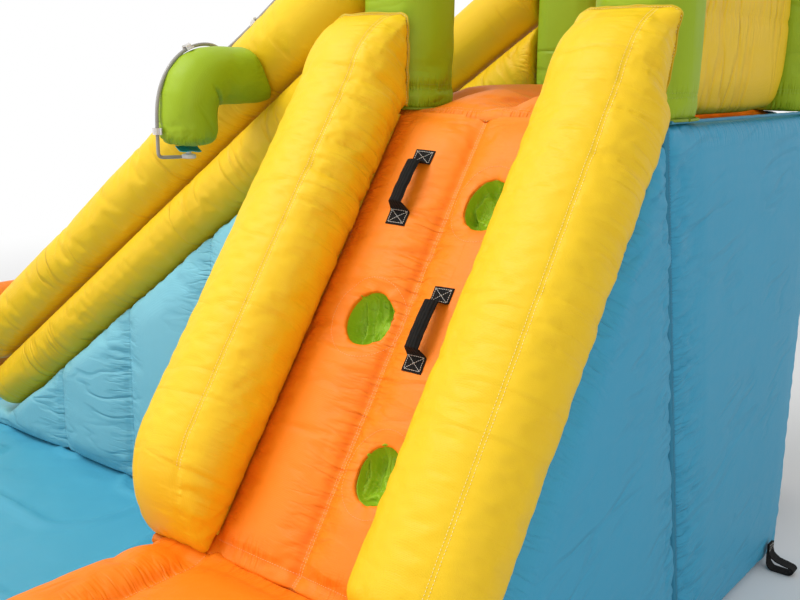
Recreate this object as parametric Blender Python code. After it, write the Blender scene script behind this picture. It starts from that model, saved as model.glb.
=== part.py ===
import math

import bmesh
import bpy
from mathutils import Vector

# Inflatable water park: a climbing wall in front of a tower, a slide to its left and a pool.
# Metres, +Z up. The origin is on the ground under the middle of the tower, the climbing wall
# faces -Y and the slide runs down towards -X.

# Tower
DECK_HEIGHT = 1.27
TOWER_DEPTH = 0.98
TOWER_WIDTH = 0.83
WALL = 0.10
BASE_SHEET = 0.006
DECK_THICK = 0.12
DECK_CROWN = 0.055
WALL_CROWN = 0.014
SEAM_GAP = 0.001

# Climbing wall
PANEL_WIDTH = 0.462
PANEL_LENGTH = 1.075
PANEL_ANGLE = math.radians(55.4)
PANEL_THICK = 0.10
PANEL_CROWN = 0.022
BOLSTER_WIDTH = 0.26
BOLSTER_HEIGHT = 0.183
BOLSTER_END_HEIGHT = 0.213
BOLSTER_END_WIDTH = 0.89
BOLSTER_END_PINCH = 0.42
BOLSTER_NOSE = 0.21
RIGHT_NOSE = 0.06
RIGHT_END_GAP = 0.008
GUSSET_LEAN = 0.285
FOOT_SHARE = 0.3
BAFFLE_SHEET = 0.003

# Foot pockets: distance down the panel and place across it
POCKET_WIDTH = 0.108
POCKET_HEIGHT = 0.126
POCKET_DEPTH = 0.078
POCKET_CLOTH = 0.004
POCKET_GAP = 0.002
POCKETS = (("top", 0.225, 0.10), ("middle", 0.511, -0.078), ("low", 0.81, 0.10))

# Webbing handles: distance down the panel of their middle and place across it
WEBBING = 0.05
WEBBING_THICK = 0.004
HANDLE_LENGTH = 0.185
HANDLE_PAD = 0.038
HANDLE_RISE = 0.03
HANDLES = (("upper", 0.207, -0.098), ("lower", 0.511, 0.088))

# Columns and arch: the top leans a little to the right
COLUMN_WIDTH = 0.205
COLUMN_DEPTH = 0.185
COLUMN_SPREAD = 0.305
COLUMN_LEAN = 0.013
COLUMN_POWER = 3.6
COLUMN_HEIGHT = 0.60
ARCH_RISE = 0.22
GUARD_HEIGHT = 0.40
GUARD_THICK = 0.11

# Slide
SLIDE_ANGLE = math.radians(34.5)
LOWER_RAIL = 0.177
UPPER_RAIL = 0.198
RAIL_INSET = 0.0025
BED_THICK = 0.11
BED_CROWN = 0.016
TOE_HEIGHT = 0.13
SLIDE_CROWN = 0.035
SLIDE_CHANNEL = 0.40

# Pool
POOL_LEFT = -3.05
POOL_FRONT = -1.62
RIM_WIDTH = 0.20
RIM_HEIGHT = 0.385
FLOOR_SHEET = 0.012
BACK_RIM_END = 1.935
MATTRESS_ROUND = 0.085

# Sprayer and hose
ELBOW_X = -0.765
ELBOW_RISE = -0.0314
ELBOW_TUBE = 0.147
ELBOW_BEND = 0.09
ELBOW_REACH = 0.198
ELBOW_DROP = 0.172
ROOT_GAP = 0.003
ROOT_ROUND = 0.018
HOSE = 0.010
HOSE_LIFT = 0.0045
HOSE_STEP = 0.04
HOSE_BEND = 0.012
VALVE_Z = 0.42
CLIP_WIDTH = 0.016

# Blower
BLOWER_X = 0.12
BLOWER_RADIUS = 0.135
BLOWER_WIDTH = 0.17
BLOWER_WALL = 0.004
BLOWER_BACK = 0.34
INTAKE = 0.062
MOTOR_SEAT = 0.026
SHAFT = 0.0045
SHAFT_BORE = 0.0055
IMPELLER = 0.095
BLADES = 10
SLEEVE = 0.11
SLEEVE_CLOTH = 0.003
FOOT = 0.012

FRONT = -TOWER_DEPTH / 2
BACK = TOWER_DEPTH / 2
SIDE = TOWER_WIDTH / 2
HALF_PANEL = PANEL_WIDTH / 2
INNER = SIDE - WALL
BOLSTER_X = HALF_PANEL + 0.5 * (SIDE - HALF_PANEL)
COLUMN_LEFT = COLUMN_LEAN - COLUMN_SPREAD
COLUMN_RIGHT = COLUMN_LEAN + COLUMN_SPREAD
COLUMN_Y = BACK - COLUMN_DEPTH / 2
PANEL_DOWN = Vector((0, -math.cos(PANEL_ANGLE), -math.sin(PANEL_ANGLE)))
PANEL_OUT = Vector((0, -math.sin(PANEL_ANGLE), math.cos(PANEL_ANGLE)))
PANEL_TOP = Vector((0, FRONT, DECK_HEIGHT))
PANEL_FOOT = PANEL_TOP + PANEL_LENGTH * PANEL_DOWN
SLIDE_DOWN = Vector((-math.cos(SLIDE_ANGLE), 0, -math.sin(SLIDE_ANGLE)))
SLIDE_OUT = Vector((-math.sin(SLIDE_ANGLE), 0, math.cos(SLIDE_ANGLE)))
SLIDE_TOP = Vector((-SIDE - 2 * SEAM_GAP, 0, DECK_HEIGHT - SEAM_GAP))
RAIL_START = COLUMN_LEFT - COLUMN_WIDTH / 2 - 2 * SEAM_GAP
RAIL_Y = COLUMN_Y - RAIL_INSET
LOWER_OUT = LOWER_RAIL / 2 + 2 * SEAM_GAP
UPPER_OUT = LOWER_RAIL + UPPER_RAIL / 2 + 3 * SEAM_GAP
BED_HALF = RAIL_Y - LOWER_RAIL / 2 - 0.0015
ELBOW_LEFT = SLIDE_TOP.x - UPPER_OUT * math.sin(SLIDE_ANGLE) - ELBOW_X
ELBOW_DOWN = ELBOW_LEFT / math.cos(SLIDE_ANGLE)
ELBOW_RAIL = SLIDE_TOP + ELBOW_DOWN * SLIDE_DOWN + UPPER_OUT * SLIDE_OUT
ELBOW_Z = ELBOW_RAIL.z + ELBOW_RISE


def clear_scene():
    for obj in list(bpy.data.objects):
        bpy.data.objects.remove(obj)


def material(name, colour, roughness=0.55, metallic=0.0, alpha=1.0):
    made = bpy.data.materials.new(name)
    made.use_nodes = True
    shader = made.node_tree.nodes["Principled BSDF"]
    shader.inputs["Base Color"].default_value = (*colour, 1.0)
    shader.inputs["Roughness"].default_value = roughness
    shader.inputs["Metallic"].default_value = metallic
    shader.inputs["Alpha"].default_value = alpha
    return made


def finish(name, bm, look, sharp=40, origin=None, helper=False):
    """The bmesh as an object, its normals outwards; origin moves the object's own origin."""
    bmesh.ops.recalc_face_normals(bm, faces=bm.faces[:])
    if origin is not None:
        bmesh.ops.translate(bm, verts=bm.verts[:], vec=-Vector(origin))
    mesh = bpy.data.meshes.new(name)
    bm.to_mesh(mesh)
    bm.free()
    mesh.shade_smooth()
    mesh.set_sharp_from_angle(angle=math.radians(sharp))
    obj = bpy.data.objects.new(name, mesh)
    if origin is not None:
        obj.location = origin
    bpy.context.collection.objects.link(obj)
    if helper:
        obj.hide_render = True
        obj.display_type = "WIRE"
    else:
        mesh.materials.append(look)
    return obj


def boolean(obj, other, operation="DIFFERENCE"):
    modifier = obj.modifiers.new(other.name, "BOOLEAN")
    modifier.operation = operation
    modifier.object = other
    return obj


def slab(name, look, us, vs, front, back):
    """A closed pad between two grids: front(u, v) and back(u, v) give its two faces."""
    bm = bmesh.new()
    sheets = []
    for face in (front, back):
        sheets.append([[bm.verts.new(face(u, v)) for v in vs] for u in us])
    for k, sheet in enumerate(sheets):
        for i in range(len(us) - 1):
            for j in range(len(vs) - 1):
                quad = (sheet[i][j], sheet[i + 1][j], sheet[i + 1][j + 1], sheet[i][j + 1])
                bm.faces.new(quad if k == 0 else quad[::-1])
    rim = [(i, 0) for i in range(len(us))]
    rim += [(len(us) - 1, j) for j in range(1, len(vs))]
    rim += [(i, len(vs) - 1) for i in range(len(us) - 2, -1, -1)]
    rim += [(0, j) for j in range(len(vs) - 2, 0, -1)]
    a, b = sheets
    for (i, j), (m, n) in zip(rim, rim[1:] + rim[:1]):
        bm.faces.new((a[m][n], a[i][j], b[i][j], b[m][n]))
    return finish(name, bm, look, sharp=60)


def loft(name, look, rings, sharp=40, origin=None, helper=False):
    """A closed body through rings of equal count, with flat ends."""
    bm = bmesh.new()
    loops = [[bm.verts.new(point) for point in ring] for ring in rings]
    count = len(loops[0])
    for first, second in zip(loops, loops[1:]):
        for k in range(count):
            n = (k + 1) % count
            bm.faces.new((first[k], first[n], second[n], second[k]))
    bm.faces.new(loops[0][::-1])
    bm.faces.new(loops[-1])
    return finish(name, bm, look, sharp=sharp, origin=origin, helper=helper)


def steps(low, high, count):
    return [low + (high - low) * k / count for k in range(count + 1)]


def swell(t, power=4):
    """0 at both ends of t in 0..1 and full in between, as cloth under air."""
    return 1 - abs(2 * t - 1) ** power


def channel(t):
    """The arched top of one sewn channel, t running 0..1 across it."""
    return math.sin(math.pi * min(1, max(0, t))) ** 0.6


def oval(half_a, half_b, count, power=2.0, start=0.0):
    """Points of a rounded outline: power 2 is an ellipse, more is squarer."""
    points = []
    for k in range(count):
        angle = start + 2 * math.pi * k / count
        c, s = math.cos(angle), math.sin(angle)
        grow = (abs(c) ** power + abs(s) ** power) ** (-1 / power)
        points.append((half_a * grow * c, half_b * grow * s))
    return points


def on_panel(x, down, out=0.0):
    return PANEL_TOP + Vector((x, 0, 0)) + down * PANEL_DOWN + out * PANEL_OUT


def panel_crown(x, down):
    """Height of the panel's two channels over the line of the seams."""
    across = abs(x) / HALF_PANEL
    if across >= 1:
        return 0.0
    ends = min(1, swell(min(1, max(0, down / PANEL_LENGTH)), 10) + 0.1)
    return PANEL_CROWN * channel(across) * ends


def box(name, look, low, high, bevel=0.0, origin=None, helper=False, segments=2):
    bm = bmesh.new()
    bmesh.ops.create_cube(bm, size=1)
    size = Vector(high) - Vector(low)
    bmesh.ops.scale(bm, verts=bm.verts[:], vec=size)
    bmesh.ops.translate(bm, verts=bm.verts[:], vec=(Vector(high) + Vector(low)) / 2)
    if bevel:
        bmesh.ops.bevel(
            bm, geom=bm.edges[:], offset=bevel, segments=segments, profile=0.5, affect="EDGES"
        )
    return finish(name, bm, look, origin=origin, helper=helper)


def turned(name, look, profile, centre, axis, sides=24, helper=False, origin=None):
    """A turned body: profile lists (along, radius) from one end to the other."""
    rotation = Vector((0, 0, 1)).rotation_difference(Vector(axis)).to_matrix()
    rings = []
    for along, radius in profile:
        ring = []
        for k in range(sides):
            angle = 2 * math.pi * k / sides
            local = Vector((radius * math.cos(angle), radius * math.sin(angle), along))
            ring.append(Vector(centre) + rotation @ local)
        rings.append(ring)
    return loft(name, look, rings, sharp=30, origin=origin, helper=helper)


def smooth_route(points, spacing):
    """Points at a steady spacing on a smooth curve through the route's own points."""
    route = [Vector(p) for p in points]
    route = [2 * route[0] - route[1], *route, 2 * route[-1] - route[-2]]
    fine = []
    for a, b, c, d in zip(route, route[1:], route[2:], route[3:]):
        for k in range(12):
            t = k / 12
            fine.append(
                0.5
                * (
                    2 * b
                    + (c - a) * t
                    + (2 * a - 5 * b + 4 * c - d) * t * t
                    + (3 * b - a - 3 * c + d) * t ** 3
                )
            )
    fine.append(route[-2])
    length = sum((q - p).length for p, q in zip(fine, fine[1:]))
    count = max(2, round(length / spacing))
    wanted, walked, made = length / count, 0.0, [fine[0]]
    for p, q in zip(fine, fine[1:]):
        step = (q - p).length
        while walked + step >= wanted * len(made) and len(made) < count:
            made.append(p.lerp(q, (wanted * len(made) - walked) / step))
        walked += step
    made.append(fine[-1])
    return made


def tower(cloth):
    low = BASE_SHEET + SEAM_GAP
    top = DECK_HEIGHT - SEAM_GAP
    foot_y = PANEL_FOOT.y
    box(
        "tower_base",
        cloth["blue"],
        (-INNER + SEAM_GAP, foot_y + SEAM_GAP, 0),
        (INNER - SEAM_GAP, BACK - WALL - SEAM_GAP, BASE_SHEET),
    )

    # The deck swells between the columns, and over its whole width where none stands on it.
    margin = 0.01
    free = COLUMN_SPREAD - COLUMN_LEAN - COLUMN_WIDTH / 2 - margin
    edge = INNER - SEAM_GAP
    guard_x = COLUMN_RIGHT - GUARD_THICK / 2 - margin
    guard_y = COLUMN_Y - GUARD_THICK / 2 - margin
    column_y = COLUMN_Y - COLUMN_DEPTH / 2 - margin / 3
    open_y = column_y - 4 * margin
    across = [*steps(-edge, -free, 3), *steps(-free, 0, 4)[1:], *steps(0, free, 4)[1:], guard_x, edge]
    along = [
        FRONT + SEAM_GAP,
        *steps(FRONT + 5 * margin, -column_y, 2),
        *steps(-open_y, open_y, 5),
        column_y,
        guard_y,
        BACK - WALL - SEAM_GAP,
    ]

    def deck_top(x, y):
        share = min(1, max(0, (column_y - abs(y)) / (column_y - open_y)))
        reach = free + (edge if x < 0 else guard_x) * share - free * share
        t = min(1, (y - along[0]) / (guard_y - along[0]))
        rise = channel(abs(x) / reach) * swell(t, 4)
        return Vector((x, y, top + DECK_CROWN * rise))

    def deck_under(x, y):
        return Vector((x, y, top - DECK_THICK))

    slab("deck_pad", cloth["orange"], across, along, deck_top, deck_under)

    lean_top = FRONT + SEAM_GAP
    lean_foot = FRONT + GUSSET_LEAN

    def wall_point(x, bulge, t, z):
        front = lean_foot + (lean_top - lean_foot) * z / top
        full = bulge * swell(t, 6) * swell(z / top, 6)
        return Vector((x + full, front + (BACK - front) * t, z))

    for name, side, bulge in (("right_side_wall", 1, WALL_CROWN), ("left_inner_wall", -1, 0)):
        slab(
            name,
            cloth["blue"],
            steps(0, 1, 6),
            steps(0, top, 8),
            lambda t, z, s=side, b=bulge: wall_point(s * SIDE, b, t, z),
            lambda t, z, s=side: wall_point(s * INNER, 0, t, z),
        )

    def back_point(x, z):
        t = (x + INNER) / (2 * INNER)
        return Vector((x, BACK + WALL_CROWN * swell(t, 6) * swell(z / top, 6), z))

    slab(
        "back_wall",
        cloth["blue"],
        steps(-INNER + SEAM_GAP, INNER - SEAM_GAP, 6),
        steps(0, top, 6),
        back_point,
        lambda x, z: Vector((x, BACK - WALL, z)),
    )

    # The sides under the climbing wall reach from the leaning seam to the panel's foot.
    def gusset_point(x, t, w):
        rear_y = lean_foot + (lean_top - lean_foot) * w - 2 * SEAM_GAP
        foot = Vector((0, foot_y, 0))
        ridge = Vector((0, rear_y, top * w))
        if w < FOOT_SHARE:
            front = foot.lerp(on_panel(0, PANEL_LENGTH, -2 * SEAM_GAP), w / FOOT_SHARE)
        else:
            front = on_panel(0, PANEL_LENGTH * (1 - w) / (1 - FOOT_SHARE), -2 * SEAM_GAP)
        point = ridge.lerp(front, t)
        return Vector((x, point.y, point.z))

    for name, side in (("right_gusset", 1), ("left_gusset", -1)):
        crown = WALL_CROWN if side > 0 else 0
        slab(
            name,
            cloth["blue"],
            steps(0, 1, 5),
            [0, 0.1, 0.2, *steps(FOOT_SHARE, 0.97, 5)],
            lambda t, w, s=side, c=crown: gusset_point(
                s * (SIDE + c * swell(t, 6) * swell(w, 6)), t, w
            ),
            lambda t, w, s=side: gusset_point(s * INNER, t, w),
        )

    # The baffle ties the deck, the panel and the base together; air passes through its holes.
    gap = 2 * SEAM_GAP
    panel_back = on_panel(0, PANEL_LENGTH - PANEL_THICK / math.tan(PANEL_ANGLE), -PANEL_THICK)
    outline = (
        (foot_y + gap, low + gap),
        (foot_y + gap, panel_back.z - gap),
        (panel_back.y + gap, panel_back.z - gap),
        (FRONT + gap, DECK_HEIGHT - PANEL_THICK / math.cos(PANEL_ANGLE) - gap),
        (FRONT + gap, top - DECK_THICK - gap),
        (BACK - WALL - gap, top - DECK_THICK - gap),
        (BACK - WALL - gap, low + gap),
    )
    half = BAFFLE_SHEET / 2
    rings = [[Vector((x, y, z)) for y, z in outline] for x in (-half, half)]
    baffle = loft("tower_baffle", cloth["white"], rings)
    for k, (y, z) in enumerate(((-0.72, 0.28), (-0.18, 0.30), (-0.18, 0.80), (0.18, 0.55))):
        hole = turned(
            f"cut_baffle_{k}", None, ((-0.05, 0.08), (0.05, 0.08)), (0, y, z), (1, 0, 0), helper=True
        )
        boolean(baffle, hole)


def climbing_wall(cloth):
    xs = steps(-INNER + SEAM_GAP, -HALF_PANEL, 2)
    xs += steps(-HALF_PANEL, 0, 6)[1:]
    xs += [-x for x in reversed(xs[:-1])]
    rows = steps(0, 1, 14)
    back_top = PANEL_THICK * math.tan(PANEL_ANGLE)
    back_foot = PANEL_LENGTH - PANEL_THICK / math.tan(PANEL_ANGLE)

    def front(x, t):
        down = 2 * SEAM_GAP + (PANEL_LENGTH - 4 * SEAM_GAP) * t
        return on_panel(x, down, panel_crown(x, down) - SEAM_GAP)

    def back(x, t):
        return on_panel(x, back_top + (back_foot - back_top) * t, -PANEL_THICK)

    panel = slab("climb_panel", cloth["orange"], xs, rows, front, back)
    for name, down, x in POCKETS:
        pocket(name, cloth["green"], panel, x, down, panel_crown(x, down))

    for name, side in (("left_bolster", -1), ("right_bolster", 1)):
        bolster(name, cloth["yellow"], side)
    for name, down, x in HANDLES:
        handle(name, cloth["webbing"], x, down)


def pocket(name, look, panel, x, down, crown):
    """A fabric cup sunk in the panel, its mouth flush with the panel's face."""
    sides = 24

    def ring(shrink, out):
        points = []
        for a, b in oval(POCKET_WIDTH / 2 - shrink, POCKET_HEIGHT / 2 - shrink, sides):
            level = out if out is not None else panel_crown(x + a, down + b) - 0.004
            points.append(on_panel(x + a, down + b, level))
        return points

    taper = 0.012
    floor = crown - POCKET_DEPTH
    outer = [
        ring(POCKET_GAP, None),
        ring(POCKET_GAP + taper / 2, crown - POCKET_DEPTH / 2),
        ring(POCKET_GAP + taper, floor),
    ]
    wall = POCKET_GAP + POCKET_CLOTH
    inner = [
        ring(wall + taper, floor + POCKET_CLOTH),
        ring(wall + taper / 2, crown - POCKET_DEPTH / 2),
        ring(wall, None),
    ]
    bm = bmesh.new()
    loops = [[bm.verts.new(point) for point in points] for points in inner + outer]
    for first, second in zip(loops, loops[1:]):
        for k in range(sides):
            n = (k + 1) % sides
            bm.faces.new((first[k], first[n], second[n], second[k]))
    bm.faces.new(loops[0])
    bm.faces.new(loops[-1])
    finish("foot_pocket_" + name, bm, look)
    mouth = oval(POCKET_WIDTH / 2, POCKET_HEIGHT / 2, sides)
    cut = []
    for level in (crown + POCKET_DEPTH / 2, floor - POCKET_GAP):
        cut.append([on_panel(x + a, down + b, level) for a, b in mouth])
    boolean(panel, loft("cut_pocket_" + name, None, cut, helper=True))


def bolster(name, look, side):
    """The padded wall beside the panel: square at the column, round along the slope."""
    count = 20
    fan = 6
    rings = []
    # The right one stays full almost to its end, so that it runs straight out of the picture.
    nose = BOLSTER_NOSE if side < 0 else RIGHT_NOSE
    end = PANEL_LENGTH if side < 0 else PANEL_LENGTH - RIGHT_END_GAP

    def section(base, up, height, half, boxy, pinch=0.0):
        ring = []
        lowest = -0.71
        start = math.acos(lowest)
        for k in range(count):
            angle = start - 2 * start * k / (count - 1)
            c, s = math.cos(angle), math.sin(angle)
            grow = (abs(c) ** boxy + abs(s) ** boxy) ** (-1 / boxy)
            across = s * grow
            level = (c * grow * (0.49 if c > 0 else 0.51 / -lowest)) + 0.51
            if boxy > 2:
                across = max(-0.92, min(0.92, across))
            level = max(0.0, level)
            if across * side > 0:
                across *= 1 - pinch * (1 - level) ** 2
            point = base + up * (height * level)
            ring.append(point + Vector((side * BOLSTER_X + half * across, 0, 0)))
        return ring

    lift = 2 * SEAM_GAP
    column_face = PANEL_TOP + Vector((0, -2 * SEAM_GAP, lift))
    for k in range(fan):
        t = k / fan
        turn = PANEL_ANGLE * t
        up = Vector((0, -math.sin(turn), math.cos(turn)))
        height = BOLSTER_END_HEIGHT + (BOLSTER_HEIGHT - BOLSTER_END_HEIGHT) * t
        half = BOLSTER_WIDTH / 2 * (BOLSTER_END_WIDTH + (1 - BOLSTER_END_WIDTH) * t ** 0.5)
        base = column_face + 0.02 * t * PANEL_DOWN
        rings.append(section(base, up, height, half, 5 - 3 * t ** 0.5, BOLSTER_END_PINCH * (1 - t)))
    straight = end - nose
    for down in steps(0.03, straight, 7):
        base = on_panel(0, down, lift)
        rings.append(section(base, PANEL_OUT, BOLSTER_HEIGHT, BOLSTER_WIDTH / 2, 2))
    for t in (0.25, 0.45, 0.62, 0.77, 0.88, 0.95, 0.99):
        shrink = (1 - t * t) ** 0.75
        base = on_panel(0, straight + nose * t, lift)
        half = BOLSTER_WIDTH / 2 * (0.72 + 0.28 * shrink)
        rings.append(section(base, PANEL_OUT, BOLSTER_HEIGHT * shrink, half, 2))
    loft(name, look, rings, sharp=50)


def handle(name, look, x, down):
    """A webbing strap: flat sewn pads at both ends, the middle folded narrow and standing off."""
    rings = []
    stations = (
        (0.0, 1.0, 0.0),
        (HANDLE_PAD, 1.0, 0.0),
        (HANDLE_PAD + 0.006, 0.85, 0.25),
        (HANDLE_PAD + 0.022, 0.60, 0.85),
        (HANDLE_LENGTH / 2, 0.55, 1.0),
    )
    mirrored = [(HANDLE_LENGTH - s, w, r) for s, w, r in reversed(stations[:-1])]
    for along, width, rise in list(stations) + mirrored:
        place = down - HANDLE_LENGTH / 2 + along
        thick = WEBBING_THICK * (1 + 2.2 * rise)
        lift = 0.002 + HANDLE_RISE * rise
        ring = []
        for a, b in oval(WEBBING / 2 * width, thick / 2, 12, 6 - 3 * rise, math.pi / 12):
            base = panel_crown(x + a, place) * (1 - rise) + panel_crown(x, place) * rise
            ring.append(on_panel(x + a, place, base + lift + thick / 2 + b))
        rings.append(ring)
    loft("handle_" + name, look, rings, sharp=50)


def columns(cloth):
    base = DECK_HEIGHT + SEAM_GAP
    outline = oval(COLUMN_WIDTH / 2, COLUMN_DEPTH / 2, 20, COLUMN_POWER, math.pi / 20)
    for depth, y in (("front", -COLUMN_Y), ("back", COLUMN_Y)):
        for hand, x in (("left", COLUMN_LEFT), ("right", COLUMN_RIGHT)):
            rings = []
            for t in steps(0, 1, 4):
                waist = 1 + 0.03 * swell(t, 4) - 0.03
                z = base + COLUMN_HEIGHT * t
                rings.append([Vector((x + a * waist, y + b * waist, z)) for a, b in outline])
            if hand == "right":
                for rise, shrink in ((0.045, 0.86), (0.075, 0.6), (0.09, 0.25)):
                    z = base + COLUMN_HEIGHT + rise
                    rings.append([Vector((x + a * shrink, y + b * shrink, z)) for a, b in outline])
            loft(f"column_{depth}_{hand}", cloth["green"], rings)

    rings = []
    top = base + COLUMN_HEIGHT + SEAM_GAP
    for k in range(13):
        angle = math.pi * k / 12
        centre = Vector((COLUMN_LEFT, -COLUMN_Y * math.cos(angle), top + ARCH_RISE * math.sin(angle)))
        tangent = Vector((0, COLUMN_Y * math.sin(angle), ARCH_RISE * math.cos(angle))).normalized()
        side = Vector((1, 0, 0)).cross(tangent)
        rings.append([centre + Vector((a * 0.97, 0, 0)) + side * -b * 0.97 for a, b in outline])
    loft("slide_arch", cloth["green"], rings)


def guards(cloth):
    """Padded fences on the deck's right and back edges, between the columns."""
    inset_y = COLUMN_Y - COLUMN_DEPTH / 2 - SEAM_GAP
    inset_x = COLUMN_WIDTH / 2 + SEAM_GAP
    outline = oval(0.5, 0.5, 16, 3.0, math.pi / 16)
    low = DECK_HEIGHT + SEAM_GAP
    spans = (
        (
            "right_guard",
            Vector((COLUMN_RIGHT, -inset_y, 0)),
            Vector((COLUMN_RIGHT, inset_y, 0)),
        ),
        (
            "back_guard",
            Vector((COLUMN_LEFT + inset_x, COLUMN_Y, 0)),
            Vector((COLUMN_RIGHT - inset_x, COLUMN_Y, 0)),
        ),
    )
    for name, start, end in spans:
        along = (end - start).normalized()
        side = Vector((0, 0, 1)).cross(along)
        rings = []
        for t in (0, 0.06, 0.3, 0.5, 0.7, 0.94, 1):
            grow = 0.86 + 0.14 * swell(t, 6)
            centre = start.lerp(end, t) + Vector((0, 0, low + GUARD_HEIGHT / 2))
            ring = []
            for a, b in outline:
                lift = b * GUARD_HEIGHT * (0.94 + 0.06 * swell(t, 6))
                ring.append(centre + side * (a * GUARD_THICK * grow) + Vector((0, 0, lift)))
            rings.append(ring)
        loft(name, cloth["yellow"], rings)


def slide_point(down, out, y):
    return SLIDE_TOP + down * SLIDE_DOWN + out * SLIDE_OUT + Vector((0, y, 0))


def slide(cloth):
    run = (SLIDE_TOP.z - TOE_HEIGHT) / math.sin(SLIDE_ANGLE)
    toe = SLIDE_TOP + run * SLIDE_DOWN
    outline = []
    for t in steps(0, 1, 6):
        outline.append((slide_point(run * 0.94 * t, 0, 0), SLIDE_OUT))
    for t in (0.45, 1.0):
        turn = SLIDE_ANGLE * (1 - t)
        out = Vector((-math.sin(turn), 0, math.cos(turn)))
        outline.append((toe + Vector((-0.13 * (t - 0.2), 0, 0.02 * (1 - t))), out))
    outline.append((toe + Vector((-0.24, 0, -0.015)), Vector((0, 0, 1))))
    ys = steps(-BED_HALF, BED_HALF, 12)

    def bed_top(k, y):
        place, out = outline[k]
        across = (y + BED_HALF) / (2 * BED_HALF) * 3
        rise = 0 if k == 0 else BED_CROWN * channel(across % 1)
        return place + Vector((0, y, 0)) + rise * out

    def bed_under(k, y):
        place, out = outline[k]
        under = place - BED_THICK * out
        if k == 0:
            under = place + BED_THICK * Vector((0, 0, -1)) / math.cos(SLIDE_ANGLE)
        return Vector((under.x, y, max(under.z, FLOOR_SHEET + SEAM_GAP)))

    slab("slide_bed", cloth["blue"], list(range(len(outline))), ys, bed_top, bed_under)

    foot = run + 0.12
    for side, word in ((-1, "near"), (1, "far")):
        y = side * RAIL_Y
        rail(word + "_lower_rail", cloth["yellow"], y, LOWER_OUT, LOWER_RAIL / 2, foot)
        rail(word + "_upper_rail", cloth["yellow"], y, UPPER_OUT, UPPER_RAIL / 2, foot - 0.02)
        slide_wall(f"slide_{word}_wall", cloth["light_blue"], side, run)


def rail(name, look, y, out, radius, length):
    """A tube along the slide's edge, cut upright at the column and round at its foot."""
    sides = 16
    section = oval(radius, radius, sides, 2, math.pi / sides)
    rings = []
    for down in steps(0, length - radius, 5):
        ring = []
        for a, b in section:
            point = slide_point(down, out + b, y + a)
            if down == 0:
                point += SLIDE_DOWN * ((RAIL_START - point.x) / SLIDE_DOWN.x)
            ring.append(point)
        rings.append(ring)
    for t in (0.35, 0.65, 0.87, 0.98):
        shrink = math.sqrt(1 - t * t)
        along = length - radius + radius * t
        rings.append([slide_point(along, out + b * shrink, y + a * shrink) for a, b in section])
    loft(name, look, rings)


def slide_wall(name, look, side, run):
    """The padded side under the rails, sewn into upright channels."""
    per_channel = 5
    seams = 4
    x_start = SLIDE_TOP.x
    first_seam = -0.985 + SLIDE_CHANNEL
    xs = steps(x_start, first_seam, 2)
    for k in range(seams - 1):
        left = first_seam - SLIDE_CHANNEL * k
        xs += steps(left, left - SLIDE_CHANNEL, per_channel)[1:]
    x_end = (SLIDE_TOP + (run + 0.10) * SLIDE_DOWN).x
    xs += steps(xs[-1], x_end, 2)[1:]
    xs.append(x_end - 0.18)
    outer = RAIL_Y + 0.045
    floor = FLOOR_SHEET + SEAM_GAP

    def edge(x):
        slope = SLIDE_TOP.z - (x_start - x) * math.tan(SLIDE_ANGLE) - 2 * SEAM_GAP
        return max(slope, 0.07)

    def front(x, t):
        z = floor + (edge(x) - floor) * t
        across = ((first_seam - x) / SLIDE_CHANNEL) % 1
        if x > first_seam + 1e-6:
            across = (x - first_seam) / (x_start - first_seam)
        bulge = SLIDE_CROWN * channel(across) * min(1, swell(t, 8) + 0.12)
        return Vector((x, side * (outer + bulge), z))

    def back(x, t):
        return Vector((x, side * (BED_HALF + SEAM_GAP), floor + (edge(x) - floor) * t))

    slab(name, look, xs, steps(0, 1, 6), front, back)


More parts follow.
